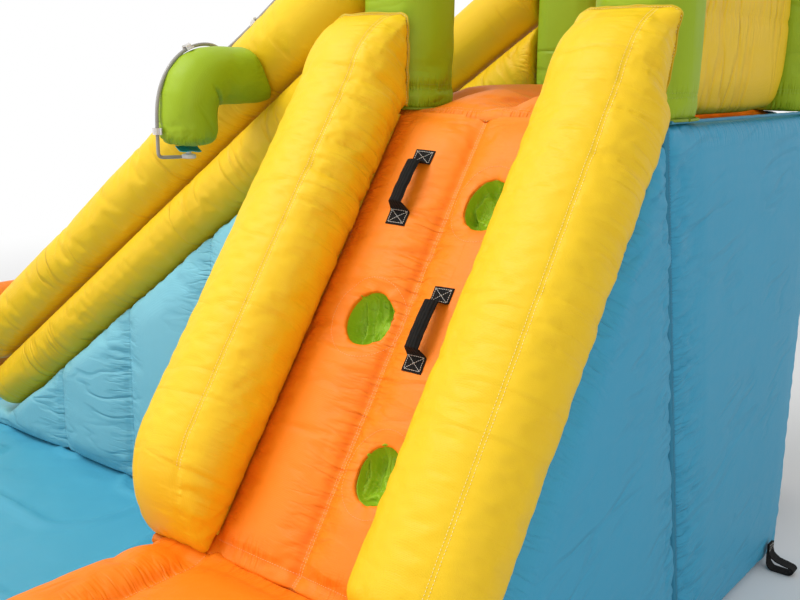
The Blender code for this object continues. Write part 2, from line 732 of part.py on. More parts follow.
def pool(cloth):
    low = SEAM_GAP
    box(
        "pool_floor",
        cloth["blue"],
        (POOL_LEFT + RIM_WIDTH + low, POOL_FRONT + RIM_WIDTH + low, 0),
        (SLIDE_TOP.x, BACK - RIM_WIDTH - low, FLOOR_SHEET),
    )

    half = RIM_WIDTH / 2
    section = []
    lobe = RIM_HEIGHT / 4
    for centre, begin, finish_at in ((lobe, -90, 60), (3 * lobe, -60, 90)):
        for k in range(6):
            angle = math.radians(begin + (finish_at - begin) * k / 5)
            section.append((half * math.cos(angle), centre + lobe * math.sin(angle)))
    section += [(-a, b) for a, b in reversed(section[1:-1])]
    mid_left = POOL_LEFT + half
    mid_front = POOL_FRONT + half
    mid_back = BACK - half
    mattress_x = -SIDE - 0.004

    def run_rim(name, start, end, along, side, cut_start, cut_end):
        rings = []
        for place, cut in ((start, cut_start), (start.lerp(end, 0.5), 0), (end, cut_end)):
            ring = []
            for a, b in section:
                point = place + side * a + Vector((0, 0, b))
                ring.append(point + along * (cut * a))
            rings.append(ring)
        loft(name, cloth["orange"], rings, sharp=60)

    gap = SEAM_GAP
    run_rim(
        "front_rim",
        Vector((mattress_x, mid_front, 0)),
        Vector((mid_left + gap, mid_front, 0)),
        Vector((-1, 0, 0)),
        Vector((0, -1, 0)),
        0,
        1,
    )
    run_rim(
        "left_rim",
        Vector((mid_left, mid_front + gap, 0)),
        Vector((mid_left, mid_back - gap, 0)),
        Vector((0, 1, 0)),
        Vector((-1, 0, 0)),
        -1,
        1,
    )
    run_rim(
        "back_rim",
        Vector((mid_left + gap, mid_back, 0)),
        Vector((SLIDE_TOP.x - BACK_RIM_END, mid_back, 0)),
        Vector((1, 0, 0)),
        Vector((0, 1, 0)),
        -1,
        0,
    )

    seam = HALF_PANEL
    near_edge = [MATTRESS_ROUND * share for share in (0, 0.12, 0.45, 1)]
    half_xs = [*steps(0, seam, 4), *steps(seam, SIDE - MATTRESS_ROUND, 2)[1:-1]]
    half_xs += [SIDE - d for d in reversed(near_edge)]
    xs = [-x for x in reversed(half_xs[1:])] + half_xs
    back_y = PANEL_FOOT.y - 2 * SEAM_GAP
    ys = steps(back_y, POOL_FRONT + MATTRESS_ROUND, 5)[:-1]
    ys += [POOL_FRONT + d for d in reversed(near_edge)]

    def rounding(distance):
        lean = 1 - min(1, distance / MATTRESS_ROUND)
        return MATTRESS_ROUND * (1 - math.sqrt(1 - lean * lean))

    def mattress_top(x, y):
        if abs(x) <= seam:
            crown = channel((x + seam) / (2 * seam))
        else:
            crown = channel((abs(x) - seam) / (SIDE - seam))
        t = (y - back_y) / (POOL_FRONT - back_y)
        drop = max(rounding(SIDE - abs(x)), rounding(y - POOL_FRONT))
        return Vector((x, y, RIM_HEIGHT + 0.004 - drop + 0.030 * crown * swell(t, 5)))

    slab(
        "front_mattress",
        cloth["orange"],
        xs,
        ys,
        mattress_top,
        lambda x, y: Vector((x, y, 0)),
    )


def sprayer(cloth):
    """The bent green tube on the near upper rail, the hose along it and the nozzle."""
    rail_centre = slide_point(ELBOW_DOWN, UPPER_OUT, -RAIL_Y)
    height = ELBOW_Z
    radius = ELBOW_TUBE / 2
    corner_y = rail_centre.y - ELBOW_REACH
    end_y = corner_y - ELBOW_BEND
    end_z = height - ELBOW_DROP
    section = oval(radius, radius, 16, 2, math.pi / 16)
    rings = []
    for share, lift in ((0.08, 0), (0.4, 0), (0.7, 0), (0.9, 0), (1.0, ROOT_ROUND)):
        ring = []
        for a, b in section:
            x, z = ELBOW_X + a * share, height + b * share
            out = (Vector((x, 0, z)) - rail_centre).dot(SLIDE_OUT)
            depth = math.sqrt((UPPER_RAIL / 2 + ROOT_GAP) ** 2 - out ** 2)
            ring.append(Vector((x, rail_centre.y - depth - lift, z)))
        rings.append(ring)
    stations = [(corner_y + 0.03, height, 0, 1.0)]
    for k in range(6):
        angle = math.pi / 2 * k / 5
        y = corner_y - ELBOW_BEND * math.sin(angle)
        z = height - ELBOW_BEND * (1 - math.cos(angle))
        stations.append((y, z, angle, 1.0 + 0.05 * math.sin(2 * angle)))
    for drop, shrink in ((0.0, 1.0), (0.02, 0.86), (0.028, 0.55)):
        stations.append((end_y, end_z + 0.028 - drop, math.pi / 2, shrink))
    for y, z, angle, grow in stations:
        out = Vector((0, -math.sin(angle), math.cos(angle)))
        rings.append([Vector((ELBOW_X + a * grow, y, z)) + out * b * grow for a, b in section])
    loft("spray_elbow", cloth["green"], rings)
    return Vector((ELBOW_X, end_y, end_z))


def over_rail(down, degrees):
    """A point on the hose's line over the near upper rail, turned from its top towards -Y."""
    reach = UPPER_RAIL / 2 + HOSE / 2 + HOSE_LIFT
    turn = math.radians(degrees)
    return slide_point(down, UPPER_OUT + reach * math.cos(turn), -RAIL_Y - reach * math.sin(turn))


def over_arch(degrees, turned):
    """The same round the arch: degrees along it from the front, turned from its top towards -X."""
    along, turn = math.radians(degrees), math.radians(turned)
    tangent = Vector((0, COLUMN_Y * math.sin(along), ARCH_RISE * math.cos(along))).normalized()
    out = Vector((1, 0, 0)).cross(tangent)
    high = DECK_HEIGHT + COLUMN_HEIGHT + 2 * SEAM_GAP
    middle = Vector((COLUMN_LEFT, -COLUMN_Y * math.cos(along), high + ARCH_RISE * math.sin(along)))
    across = abs(math.sin(turn)) / (COLUMN_WIDTH / 2)
    upward = abs(math.cos(turn)) / (COLUMN_DEPTH / 2)
    reach = (across ** COLUMN_POWER + upward ** COLUMN_POWER) ** (-1 / COLUMN_POWER)
    reach += HOSE / 2 + HOSE_LIFT
    return middle + reach * (math.cos(turn) * out + math.sin(turn) * Vector((-1, 0, 0)))


def over_elbow(arm, bend, degrees, reach=ELBOW_TUBE / 2 + HOSE / 2 + HOSE_LIFT):
    """The same on the sprayer: along its arm, then round its bend, turned towards -X."""
    corner_y = -RAIL_Y - ELBOW_REACH
    out = Vector((0, -math.sin(math.radians(bend)), math.cos(math.radians(bend))))
    turn = math.radians(degrees)
    middle = Vector((ELBOW_X, -RAIL_Y - arm, ELBOW_Z))
    if bend:
        middle = Vector((ELBOW_X, corner_y, ELBOW_Z - ELBOW_BEND)) + ELBOW_BEND * out
    return middle + reach * (math.cos(turn) * out + math.sin(turn) * Vector((-1, 0, 0)))


def hose_parts(looks, mouth):
    """The hose from its tap connector at the back, over the arch, to the nozzle."""
    low_z = mouth.z - 0.026
    drop = over_elbow(0, 90, 12)
    column_x = COLUMN_LEFT - COLUMN_WIDTH / 2 - HOSE / 2 - HOSE_LIFT
    back_y = BACK + WALL_CROWN + HOSE
    column_y = BACK + HOSE / 2 + HOSE_LIFT
    points = [
        Vector((COLUMN_LEFT, back_y, VALVE_Z + 0.03)),
        Vector((COLUMN_LEFT, back_y, DECK_HEIGHT * 0.43)),
        Vector((COLUMN_LEFT, back_y, DECK_HEIGHT * 0.63)),
        Vector((COLUMN_LEFT, back_y, DECK_HEIGHT * 0.905)),
        Vector((COLUMN_LEFT, column_y, DECK_HEIGHT + COLUMN_HEIGHT * 0.3)),
        Vector((COLUMN_LEFT, column_y, DECK_HEIGHT + COLUMN_HEIGHT * 0.88)),
    ]
    for degrees, turn in ((165, 0), (140, 0), (115, 0), (90, 0), (70, 8), (52, 30), (36, 52), (20, 76)):
        points.append(over_arch(degrees, turn))
    points += [
        Vector((column_x, -COLUMN_Y, DECK_HEIGHT + COLUMN_HEIGHT * 0.95)),
        Vector((column_x, -COLUMN_Y - 0.006, DECK_HEIGHT + COLUMN_HEIGHT * 0.825)),
        over_rail(-ELBOW_DOWN, 10),
        over_rail(-ELBOW_DOWN * 0.52, 14),
        over_rail(ELBOW_DOWN * 0.22, 14),
        over_rail(ELBOW_DOWN * 0.82, 14),
        over_rail(ELBOW_DOWN * 1.17, 18),
        over_rail(ELBOW_DOWN * 1.30, 36),
        over_rail(ELBOW_DOWN * 1.26, 54),
        over_elbow(ELBOW_REACH * 0.56, 0, 50),
        over_elbow(ELBOW_REACH * 0.68, 0, 36),
        over_elbow(ELBOW_REACH * 0.93, 0, 20),
        over_elbow(0, 20, 13),
        over_elbow(0, 45, 12),
        over_elbow(0, 70, 12),
        drop,
        Vector((drop.x, drop.y, low_z + 0.05)),
        Vector((drop.x, drop.y, low_z + 2 * HOSE_BEND)),
    ]
    curve = bpy.data.curves.new("water_hose", "CURVE")
    curve.dimensions = "3D"
    curve.bevel_depth = HOSE / 2
    curve.bevel_resolution = 2
    curve.use_fill_caps = True
    made = smooth_route(points, HOSE_STEP)
    for degrees in (0, 30, 60, 90):
        turn = math.radians(degrees)
        across, lift = HOSE_BEND * (1 - math.cos(turn)), HOSE_BEND * (1 - math.sin(turn))
        made.append(Vector((drop.x, drop.y + across, low_z + lift)))
    made.append(Vector((ELBOW_X, mouth.y - 0.020, low_z)))
    spline = curve.splines.new("POLY")
    spline.points.add(len(made) - 1)
    for place, point in zip(spline.points, made):
        place.co = (*point, 1)
    curve.materials.append(looks["clear"])
    bpy.context.collection.objects.link(bpy.data.objects.new("water_hose", curve))

    on_rail = over_rail(ELBOW_DOWN * 0.78, 14)
    clips = (
        ("hose_clip_rail", on_rail, on_rail - slide_point(ELBOW_DOWN * 0.78, UPPER_OUT, -RAIL_Y)),
        ("hose_clip_elbow", over_elbow(0, 20, 13), over_elbow(0, 20, 13) - over_elbow(0, 20, 13, 0)),
        ("hose_clip_elbow_end", drop + Vector((0, 0, -0.05)), drop - over_elbow(0, 90, 12, 0)),
        ("hose_clip_wall", Vector((COLUMN_LEFT, back_y, DECK_HEIGHT * 0.63)), Vector((0, 1, 0))),
    )
    for name, place, out in clips:
        nearest = min(range(1, len(made) - 1), key=lambda k: (made[k] - place).length)
        along = (made[nearest + 1] - made[nearest - 1]).normalized()
        hose_clip(name, looks["clear"], made[nearest], along, out.normalized())

    box(
        "nozzle_bracket",
        looks["blue_plastic"],
        (ELBOW_X - 0.012, mouth.y - 0.034, mouth.z - 0.0105),
        (ELBOW_X + 0.012, mouth.y + 0.034, mouth.z - 0.0015),
        bevel=0.002,
        segments=1,
    )
    centre = Vector((ELBOW_X, mouth.y, mouth.z))
    profile = (
        (-0.012, 0.0065),
        (-0.0185, 0.0070),
        (-0.0210, 0.0165),
        (-0.0230, 0.0180),
        (-0.0285, 0.0180),
        (-0.0305, 0.0160),
        (-0.0315, 0.0060),
    )
    turned("spray_nozzle", looks["clear"], profile, centre, (0, 0, 1), sides=20, origin=centre)

    valve = Vector((COLUMN_LEFT, back_y, VALVE_Z))
    turned(
        "valve_body",
        looks["blue_plastic"],
        (
            (-0.066, 0.012),
            (-0.062, 0.012),
            (-0.061, 0.0095),
            (-0.020, 0.0095),
            (-0.016, 0.015),
            (0.012, 0.015),
            (0.016, 0.0085),
            (0.0285, 0.0085),
        ),
        valve,
        (0, 0, 1),
        sides=20,
    )
    nut = turned(
        "swivel_nut",
        looks["green_plastic"],
        ((-0.018, 0.0175), (-0.016, 0.0190), (0.008, 0.0190), (0.010, 0.0175)),
        valve + Vector((0, 0, -0.06)),
        (0, 0, 1),
        sides=12,
        origin=valve + Vector((0, 0, -0.06)),
    )
    for word, radius, low, high in (("neck", 0.0102, 0, 0.02), ("thread", 0.0135, -0.03, 0.0045)):
        bore = turned(
            "cut_nut_" + word,
            None,
            ((low, radius), (high, radius)),
            valve + Vector((0, 0, -0.06)),
            (0, 0, 1),
            helper=True,
        )
        boolean(nut, bore)
    pivot = valve + Vector((0, 0.019, -0.002))
    box(
        "valve_lever",
        looks["green_plastic"],
        pivot + Vector((-0.006, -0.0035, -0.009)),
        pivot + Vector((0.006, 0.0035, 0.042)),
        bevel=0.0018,
        origin=pivot,
    )


def hose_clip(name, look, centre, along, out):
    """A strap clip round the hose: a block with a bore and two ears on the fabric side."""
    side = along.cross(out).normalized()
    out = side.cross(along).normalized()
    half_outline = (
        (0.0165, -0.0045),
        (0.0165, -0.0015),
        (0.009, -0.0015),
        (0.009, 0.006),
        (0.0045, 0.0105),
    )
    outline = [*half_outline, *((-a, b) for a, b in reversed(half_outline))]
    bore = [(0.0066 * math.cos(a), 0.0066 * math.sin(a)) for a in steps(0, 2 * math.pi, 12)[:-1]]
    half = CLIP_WIDTH / 2
    rings = []
    for shift in (-half, half):
        rings.append([centre + along * shift + side * a + out * b for a, b in outline])
    clip = loft(name, look, rings)
    rings = []
    for shift in (-2 * half, 2 * half):
        rings.append([centre + along * shift + side * a + out * b for a, b in bore])
    cut = loft("cut_" + name, None, rings, helper=True)
    boolean(clip, cut)


def blower(looks):
    """A snail blower behind the tower, joined to the back wall by a fabric sleeve."""
    centre = Vector((BLOWER_X, BACK + BLOWER_BACK, FOOT + BLOWER_RADIUS + 0.02))
    half = BLOWER_WIDTH / 2
    mouth_y = BACK + 0.135
    duct_low = centre.z - BLOWER_RADIUS
    duct_high = duct_low + 0.115

    def volute(name, grow, x_low, x_high, look=None, mouth=mouth_y):
        rim = BLOWER_RADIUS - grow
        outline = []
        for k in range(19):
            angle = math.radians(-90 + 210 * k / 18)
            outline.append((centre.y + rim * math.cos(angle), centre.z + rim * math.sin(angle)))
        outline.append((centre.y - rim * 0.86, duct_high - grow + 0.012))
        outline.append((centre.y - rim * 0.99, duct_high - grow))
        outline.append((mouth, duct_high - grow))
        outline.append((mouth, duct_low + grow))
        rings = [[Vector((x, y, z)) for y, z in outline] for x in (x_low, x_high)]
        return loft(name, look, rings, helper=look is None)

    split = BLOWER_X
    gap = SEAM_GAP / 2
    cover_low, cover_high = BLOWER_X - half, split - gap
    house_low, house_high = split + gap, BLOWER_X + half
    cover = volute("blower_cover", 0, cover_low, cover_high, looks["grey_plastic"])
    open_y = mouth_y - 0.02
    hollow = volute("cut_cover", BLOWER_WALL, cover_low + BLOWER_WALL, split + 0.02, mouth=open_y)
    boolean(cover, hollow)
    house = volute("blower_housing", 0, house_low, house_high, looks["grey_plastic"])
    hollow = volute("cut_housing", BLOWER_WALL, split - 0.02, house_high - BLOWER_WALL, mouth=open_y)
    boolean(house, hollow)
    axle = Vector((0, centre.y, centre.z))
    for name, shell, x, radius in (
        ("cut_intake", house, house_high, INTAKE),
        ("cut_motor", cover, cover_low, MOTOR_SEAT),
    ):
        profile = ((x - 0.02, radius), (x + 0.02, radius))
        boolean(shell, turned(name, None, profile, axle, (1, 0, 0), helper=True))
    leg_top = centre.z - math.sqrt(BLOWER_RADIUS ** 2 - 0.105 ** 2) + 0.004
    for obj, low, high in ((cover, cover_low, cover_high), (house, house_low, house_high)):
        for y in (centre.y - 0.085, centre.y + 0.085):
            leg = box(
                f"leg_{obj.name}_{'front' if y < centre.y else 'back'}",
                None,
                (low + 0.01, y - 0.02, 0),
                (high - 0.01, y + 0.02, leg_top),
                helper=True,
            )
            boolean(obj, leg, "UNION")

    gland = centre + Vector((-half / 2, BLOWER_RADIUS - 0.003, 0))
    profile = ((-0.002, 0.0095), (0.010, 0.0095), (0.012, 0.0075), (0.022, 0.0065))
    stem = turned("cord_gland", None, profile, gland, (0, 1, 0), sides=16, helper=True)
    boolean(cover, stem, "UNION")
    bore = turned(
        "cut_gland", None, ((0.006, 0.0035), (0.04, 0.0035)), gland, (0, 1, 0), sides=12, helper=True
    )
    boolean(cover, bore)

    # Grille over the intake: a ring with six bars and a middle disc.
    bars = turned(
        "blower_grille",
        looks["black_plastic"],
        ((0.001, INTAKE + 0.012), (0.005, INTAKE + 0.010)),
        (house_high, centre.y, centre.z),
        (1, 0, 0),
    )
    edge = INTAKE - 0.004
    window = ((0.015, -21), (0.015, 21), (edge, 27.5), (edge, 9), (edge, -9), (edge, -27.5))
    for k in range(6):
        angle = math.radians(60 * k)
        rings = []
        for x in (house_high - 0.01, house_high + 0.02):
            ring = []
            for reach, turn in window:
                spot = angle + math.radians(turn)
                ring.append(axle + Vector((x, reach * math.cos(spot), reach * math.sin(spot))))
            rings.append(ring)
        boolean(bars, loft(f"cut_grille_{k}", None, rings, helper=True))

    motor_in = cover_low + 0.05
    motor = turned(
        "blower_motor",
        looks["black_plastic"],
        (
            (cover_low - 0.045, 0.040),
            (cover_low - 0.040, 0.046),
            (cover_low - 0.0015, 0.046),
            (cover_low - 0.001, 0.0245),
            (motor_in, 0.0245),
        ),
        axle,
        (1, 0, 0),
    )
    profile = ((motor_in - 0.03, SHAFT_BORE), (motor_in + 0.02, SHAFT_BORE))
    boolean(motor, turned("cut_shaft", None, profile, axle, (1, 0, 0), sides=16, helper=True))

    disc_x = motor_in + 0.008
    end_x = house_high - 0.022
    wheel = turned(
        "blower_impeller",
        looks["grey_plastic"],
        (
            (motor_in - 0.025, SHAFT),
            (disc_x - 0.004, SHAFT),
            (disc_x - 0.0038, IMPELLER),
            (disc_x, IMPELLER),
            (disc_x + 0.0002, 0.022),
            (end_x - 0.01, 0.016),
        ),
        axle,
        (1, 0, 0),
        origin=Vector((disc_x, centre.y, centre.z)),
    )
    blade = ((0.012, -0.10), (0.055, 0.10), (0.092, 0.42), (0.0935, 0.38), (0.056, 0.04), (0.013, -0.28))
    for k in range(BLADES):
        angle = 2 * math.pi * k / BLADES
        rings = []
        for x in (disc_x - 0.002, end_x):
            ring = []
            for reach, turn in blade:
                spot = angle + turn
                ring.append(axle + Vector((x, reach * math.cos(spot), reach * math.sin(spot))))
            rings.append(ring)
        boolean(wheel, loft(f"blade_{k}", None, rings, helper=True), "UNION")

    # Rocker switch in a slot of the housing's top
    top_z = centre.z + BLOWER_RADIUS
    slot_x = (house_low + house_high) / 2
    slot = box(
        "cut_switch",
        None,
        (slot_x - 0.0125, centre.y - 0.0085, top_z - 0.03),
        (slot_x + 0.0125, centre.y + 0.0085, top_z + 0.02),
        helper=True,
    )
    boolean(house, slot)
    pivot = Vector((slot_x, centre.y, top_z - 0.001))
    box(
        "blower_switch",
        looks["black_plastic"],
        pivot + Vector((-0.0105, -0.007, -0.004)),
        pivot + Vector((0.0105, 0.007, 0.004)),
        bevel=0.0015,
        segments=1,
        origin=pivot,
    )

    # The fabric sleeve is clamped over the outlet and sewn into the back wall.
    duct_mid = (duct_low + duct_high) / 2
    wide = BLOWER_WIDTH / 2 + 0.014
    tall = (duct_high - duct_low) / 2 + 0.014
    rings = []
    stations = (
        (BACK + WALL_CROWN + 0.004, SLEEVE / 2 + 0.02, SLEEVE / 2 + 0.006, 2.2),
        (BACK + 0.05, SLEEVE / 2 + 0.035, SLEEVE / 2 + 0.012, 2.4),
        (BACK + 0.10, wide, tall + 0.006, 4),
        (mouth_y + 0.005, wide, tall, 6),
        (mouth_y + 0.035, wide + 0.002, tall + 0.002, 6),
    )

    def duct_ring(y, half_a, half_b, power):
        outline = oval(half_a, half_b, 20, power, math.pi / 20)
        return [Vector((BLOWER_X + a, y, duct_mid + b)) for a, b in outline]

    for y, half_a, half_b, power in stations:
        rings.append(duct_ring(y, half_a, half_b, power))
    sleeve = loft("inlet_sleeve", looks["cloth_blue"], rings)
    rings = []
    for (y, half_a, half_b, power), shift in zip(stations, (-0.01, 0, 0, 0, 0.01)):
        rings.append(duct_ring(y + shift, half_a - SLEEVE_CLOTH, half_b - SLEEVE_CLOTH, power))
    boolean(sleeve, loft("cut_sleeve", None, rings, helper=True))
    strap_y = mouth_y + 0.012
    rings = [duct_ring(y, wide + 0.008, tall + 0.008, 6) for y in (strap_y, strap_y + 0.02)]
    strap = loft("sleeve_strap", looks["webbing"], rings)
    inside = [duct_ring(y, wide + 0.0035, tall + 0.0035, 6) for y in (strap_y - 0.01, strap_y + 0.03)]
    boolean(strap, loft("cut_strap", None, inside, helper=True))


def small_parts(looks):
    """Deflation zip in the back wall and the webbing loops that the ground pegs go through."""
    zip_z = 0.16
    zip_y = BACK + WALL_CROWN + 0.001
    box(
        "deflation_zip",
        looks["black_plastic"],
        (-0.27, zip_y, zip_z - 0.016),
        (-0.05, zip_y + 0.003, zip_z + 0.016),
    )
    start = Vector((-0.255, zip_y + 0.0035, zip_z))
    box(
        "zip_slider",
        looks["steel"],
        start + Vector((-0.006, 0, -0.007)),
        start + Vector((0.006, 0.007, 0.007)),
        bevel=0.0015,
        segments=1,
        origin=start,
    )
    loops = (
        ("anchor_loop_front_right", SIDE + WALL_CROWN + 0.001, PANEL_FOOT.y + 0.10, 1),
        ("anchor_loop_back_right", SIDE + WALL_CROWN + 0.001, BACK - 0.12, 1),
        ("anchor_loop_front_left", POOL_LEFT - 0.001, POOL_FRONT + 0.3, -1),
        ("anchor_loop_back_left", POOL_LEFT - 0.001, BACK - 0.3, -1),
    )
    for name, x, y, side in loops:
        outline = (
            (0, 0.075), (0, 0.012), (0.012, 0.0005), (0.066, 0.0005), (0.078, 0.006),
            (0.080, 0.015), (0.072, 0.024), (0.03, 0.032), (0.005, 0.052), (0.004, 0.075),
        )
        rings = []
        for shift in (-0.019, 0.019):
            rings.append([Vector((x + side * a, y + shift, b)) for a, b in outline])
        loop = loft(name, looks["webbing"], rings)
        hole = (
            (0.014, 0.004), (0.065, 0.004), (0.0745, 0.008), (0.076, 0.015),
            (0.070, 0.0205), (0.026, 0.028), (0.010, 0.038),
        )
        rings = []
        for shift in (-0.03, 0.03):
            rings.append([Vector((x + side * a, y + shift, b)) for a, b in hole])
        boolean(loop, loft("cut_" + name, None, rings, helper=True))


def main():
    clear_scene()
    cloth = {
        "blue": material("blue_cloth", (0.035, 0.28, 0.44), 0.5),
        "light_blue": material("light_blue_cloth", (0.12, 0.45, 0.50), 0.5),
        "orange": material("orange_cloth", (0.92, 0.22, 0.01), 0.5),
        "yellow": material("yellow_cloth", (0.90, 0.62, 0.03), 0.5),
        "green": material("green_cloth", (0.26, 0.42, 0.02), 0.5),
        "webbing": material("black_webbing", (0.008, 0.007, 0.006), 0.85),
        "white": material("white_cloth", (0.7, 0.7, 0.7), 0.6),
    }
    looks = {
        "clear": material("clear_plastic", (0.75, 0.77, 0.78), 0.2, 0.0, 0.5),
        "blue_plastic": material("blue_plastic", (0.02, 0.2, 0.35), 0.35),
        "green_plastic": material("green_plastic", (0.10, 0.30, 0.04), 0.4),
        "grey_plastic": material("grey_plastic", (0.16, 0.17, 0.18), 0.5),
        "black_plastic": material("black_plastic", (0.02, 0.02, 0.02), 0.5),
        "steel": material("zip_steel", (0.6, 0.6, 0.6), 0.3, 1.0),
        "cloth_blue": cloth["blue"],
        "webbing": cloth["webbing"],
    }
    tower(cloth)
    climbing_wall(cloth)
    columns(cloth)
    guards(cloth)
    slide(cloth)
    pool(cloth)
    hose_parts(looks, sprayer(cloth))
    blower(looks)
    small_parts(looks)


main()
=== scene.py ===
import itertools
import math

import bpy
import numpy as np
from mathutils import Matrix, Vector
from mathutils.bvhtree import BVHTree


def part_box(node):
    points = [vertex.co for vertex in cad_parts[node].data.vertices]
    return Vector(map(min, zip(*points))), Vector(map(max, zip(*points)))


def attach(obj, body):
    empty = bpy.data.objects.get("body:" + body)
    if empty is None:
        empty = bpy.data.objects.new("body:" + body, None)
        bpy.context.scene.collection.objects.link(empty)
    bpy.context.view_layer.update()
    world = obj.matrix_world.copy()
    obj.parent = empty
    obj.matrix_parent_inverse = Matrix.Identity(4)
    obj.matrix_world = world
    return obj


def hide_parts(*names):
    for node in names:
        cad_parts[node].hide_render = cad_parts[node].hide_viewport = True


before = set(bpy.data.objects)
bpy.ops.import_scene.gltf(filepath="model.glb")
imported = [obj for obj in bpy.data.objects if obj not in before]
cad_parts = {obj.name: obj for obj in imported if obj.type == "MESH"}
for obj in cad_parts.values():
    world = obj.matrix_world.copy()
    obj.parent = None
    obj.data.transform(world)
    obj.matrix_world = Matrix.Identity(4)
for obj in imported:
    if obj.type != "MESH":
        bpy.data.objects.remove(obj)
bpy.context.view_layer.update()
bpy.ops.object.select_all(action="DESELECT")

# The park's own directions and shared lines, in metres in the shared frame
toX, toY, toZ = Vector((1, 0, 0)), Vector((0, 1, 0)), Vector((0, 0, 1))
panelTop = Vector((0, -0.49, 1.27))
panelAngle = math.radians(55.4)
panelDown = Vector((0, -math.cos(panelAngle), -math.sin(panelAngle)))
panelOut = Vector((0, -math.sin(panelAngle), math.cos(panelAngle)))
slideTop = Vector((-0.417, 0, 1.269))
slideAngle = math.radians(34.5)
slideDown = Vector((-math.cos(slideAngle), 0, -math.sin(slideAngle)))
slideOut = Vector((-math.sin(slideAngle), 0, math.cos(slideAngle)))
lean = {"foot": -0.205, "back": 0.285, "tall": 1.269}  # the seam that leans over the right wall
leanAcross = Vector((0, lean["tall"], lean["back"])).normalized()
leanAlong = Vector((0, -lean["back"], lean["tall"])).normalized()
bolsterMiddles = {"leftBolster": -0.323, "rightBolster": 0.323}
crestShift = 0.061  # from a bolster's middle to its crest seam
panelSide = 0.205  # from the panel's middle to the seams at its sides
panelFootSeam = 1.035  # down the panel
mattressGroove = 0.231
railSeam = 0.179  # height over the slide
wallSeams = (-0.585, -0.985, -1.385, -1.785)

# Camera, at the photo's angle
shot = {"place": (1.2328, -2.32655, 1.36706), "yaw": 38.605, "pitch": 13.106, "roll": 0.957, "lens": 45.12}


def addCamera():
    yaw, pitch, roll = (math.radians(shot[key]) for key in ("yaw", "pitch", "roll"))
    ahead = Vector((-math.sin(yaw) * math.cos(pitch), math.cos(yaw) * math.cos(pitch), -math.sin(pitch)))
    level = Vector((math.cos(yaw), math.sin(yaw), 0))
    above = level.cross(ahead)
    right = math.cos(roll) * level + math.sin(roll) * above
    up = math.cos(roll) * above - math.sin(roll) * level
    bpy.ops.object.camera_add()
    camera = bpy.context.object
    camera.data.lens = shot["lens"]
    turned = Matrix((right, up, -ahead)).transposed().to_4x4()
    camera.matrix_world = Matrix.Translation(shot["place"]) @ turned
    bpy.context.scene.camera = camera


addCamera()
print("camera stands")


# Small helpers for operators and points
def pick(*pieces):
    bpy.ops.object.select_all(action="DESELECT")
    for piece in pieces:
        piece.select_set(True)
    bpy.context.view_layer.objects.active = pieces[-1]


def applyModifiers(piece):
    pick(piece)
    for modifier in list(piece.modifiers):
        bpy.ops.object.modifier_apply(modifier=modifier.name)


def settle(piece):
    pick(piece)
    bpy.ops.object.transform_apply(location=True, rotation=True, scale=True)


def editMesh(piece, **steps):  # mesh operators on the whole piece, in the order given
    pick(piece)
    bpy.ops.object.mode_set(mode="EDIT")
    bpy.ops.mesh.select_all(action="SELECT")
    for step, settings in steps.items():
        getattr(bpy.ops.mesh, step)(**settings)
    bpy.ops.object.mode_set(mode="OBJECT")


def faceOut(piece, near=None, inside=False):  # first joins the points that are nearer than near
    merge = {"remove_doubles": {"threshold": near}} if near else {}
    editMesh(piece, **merge, normals_make_consistent={"inside": inside})


def corners(piece):
    points = np.zeros(len(piece.data.vertices) * 3)
    piece.data.vertices.foreach_get("co", points)
    return points.reshape(-1, 3)


def outward(piece):
    normals = np.zeros(len(piece.data.vertices) * 3, np.float32)
    piece.data.vertices.foreach_get("normal", normals)
    return normals.reshape(-1, 3).astype(float)


def moveCorners(piece, points):
    piece.data.vertices.foreach_set("co", points.ravel())
    piece.data.update()


def columns(*parts):
    return np.stack(parts, axis=1)


def asRows(vectors):
    return np.array([tuple(vector) for vector in vectors])


def onPanel(points):  # across the climbing panel, down it and out of it
    away = points - np.array(panelTop)
    return points[:, 0], away @ np.array(panelDown), away @ np.array(panelOut)


def panelPoint(x, down, out=0.0):
    return panelTop + float(x) * toX + float(down) * panelDown + float(out) * panelOut


def leanPlace(z):
    return lean["foot"] - lean["back"] * z / lean["tall"]


def spread(low, high, count):
    return [low + (high - low) * k / count for k in range(count + 1)]


def squared(c, s, power):  # takes a circle out towards a square with round corners
    return (abs(c) ** power + abs(s) ** power) ** (-1 / power)


def gridPiece(name, across, up):  # a flat grid from -0.5 to 0.5, and its points
    bpy.ops.mesh.primitive_grid_add(x_subdivisions=across, y_subdivisions=up, size=1)
    bpy.context.object.name = name
    return bpy.context.object, corners(bpy.context.object)


def thicken(piece, thick, offset, edge=0.0):
    skin = piece.modifiers.new("Cloth", "SOLIDIFY")
    skin.thickness, skin.offset = thick, offset
    if edge:
        bevelEdges(piece, edge, 2)
    applyModifiers(piece)


def bevelEdges(piece, width, segments):
    soft = piece.modifiers.new("Edge", "BEVEL")
    soft.width, soft.segments = width, segments


def nodeOf(name):  # leftBolster stands for left_bolster
    return "".join("_" + letter.lower() if letter.isupper() else letter for letter in name)


def dress(piece, look, slot, body="park", stands=True, smooth=True):
    if smooth:
        piece.data.shade_smooth()
    piece.data.materials.append(look)
    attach(piece, body)
    if stands:  # in the place of its own CAD node
        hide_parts(nodeOf(piece.name))


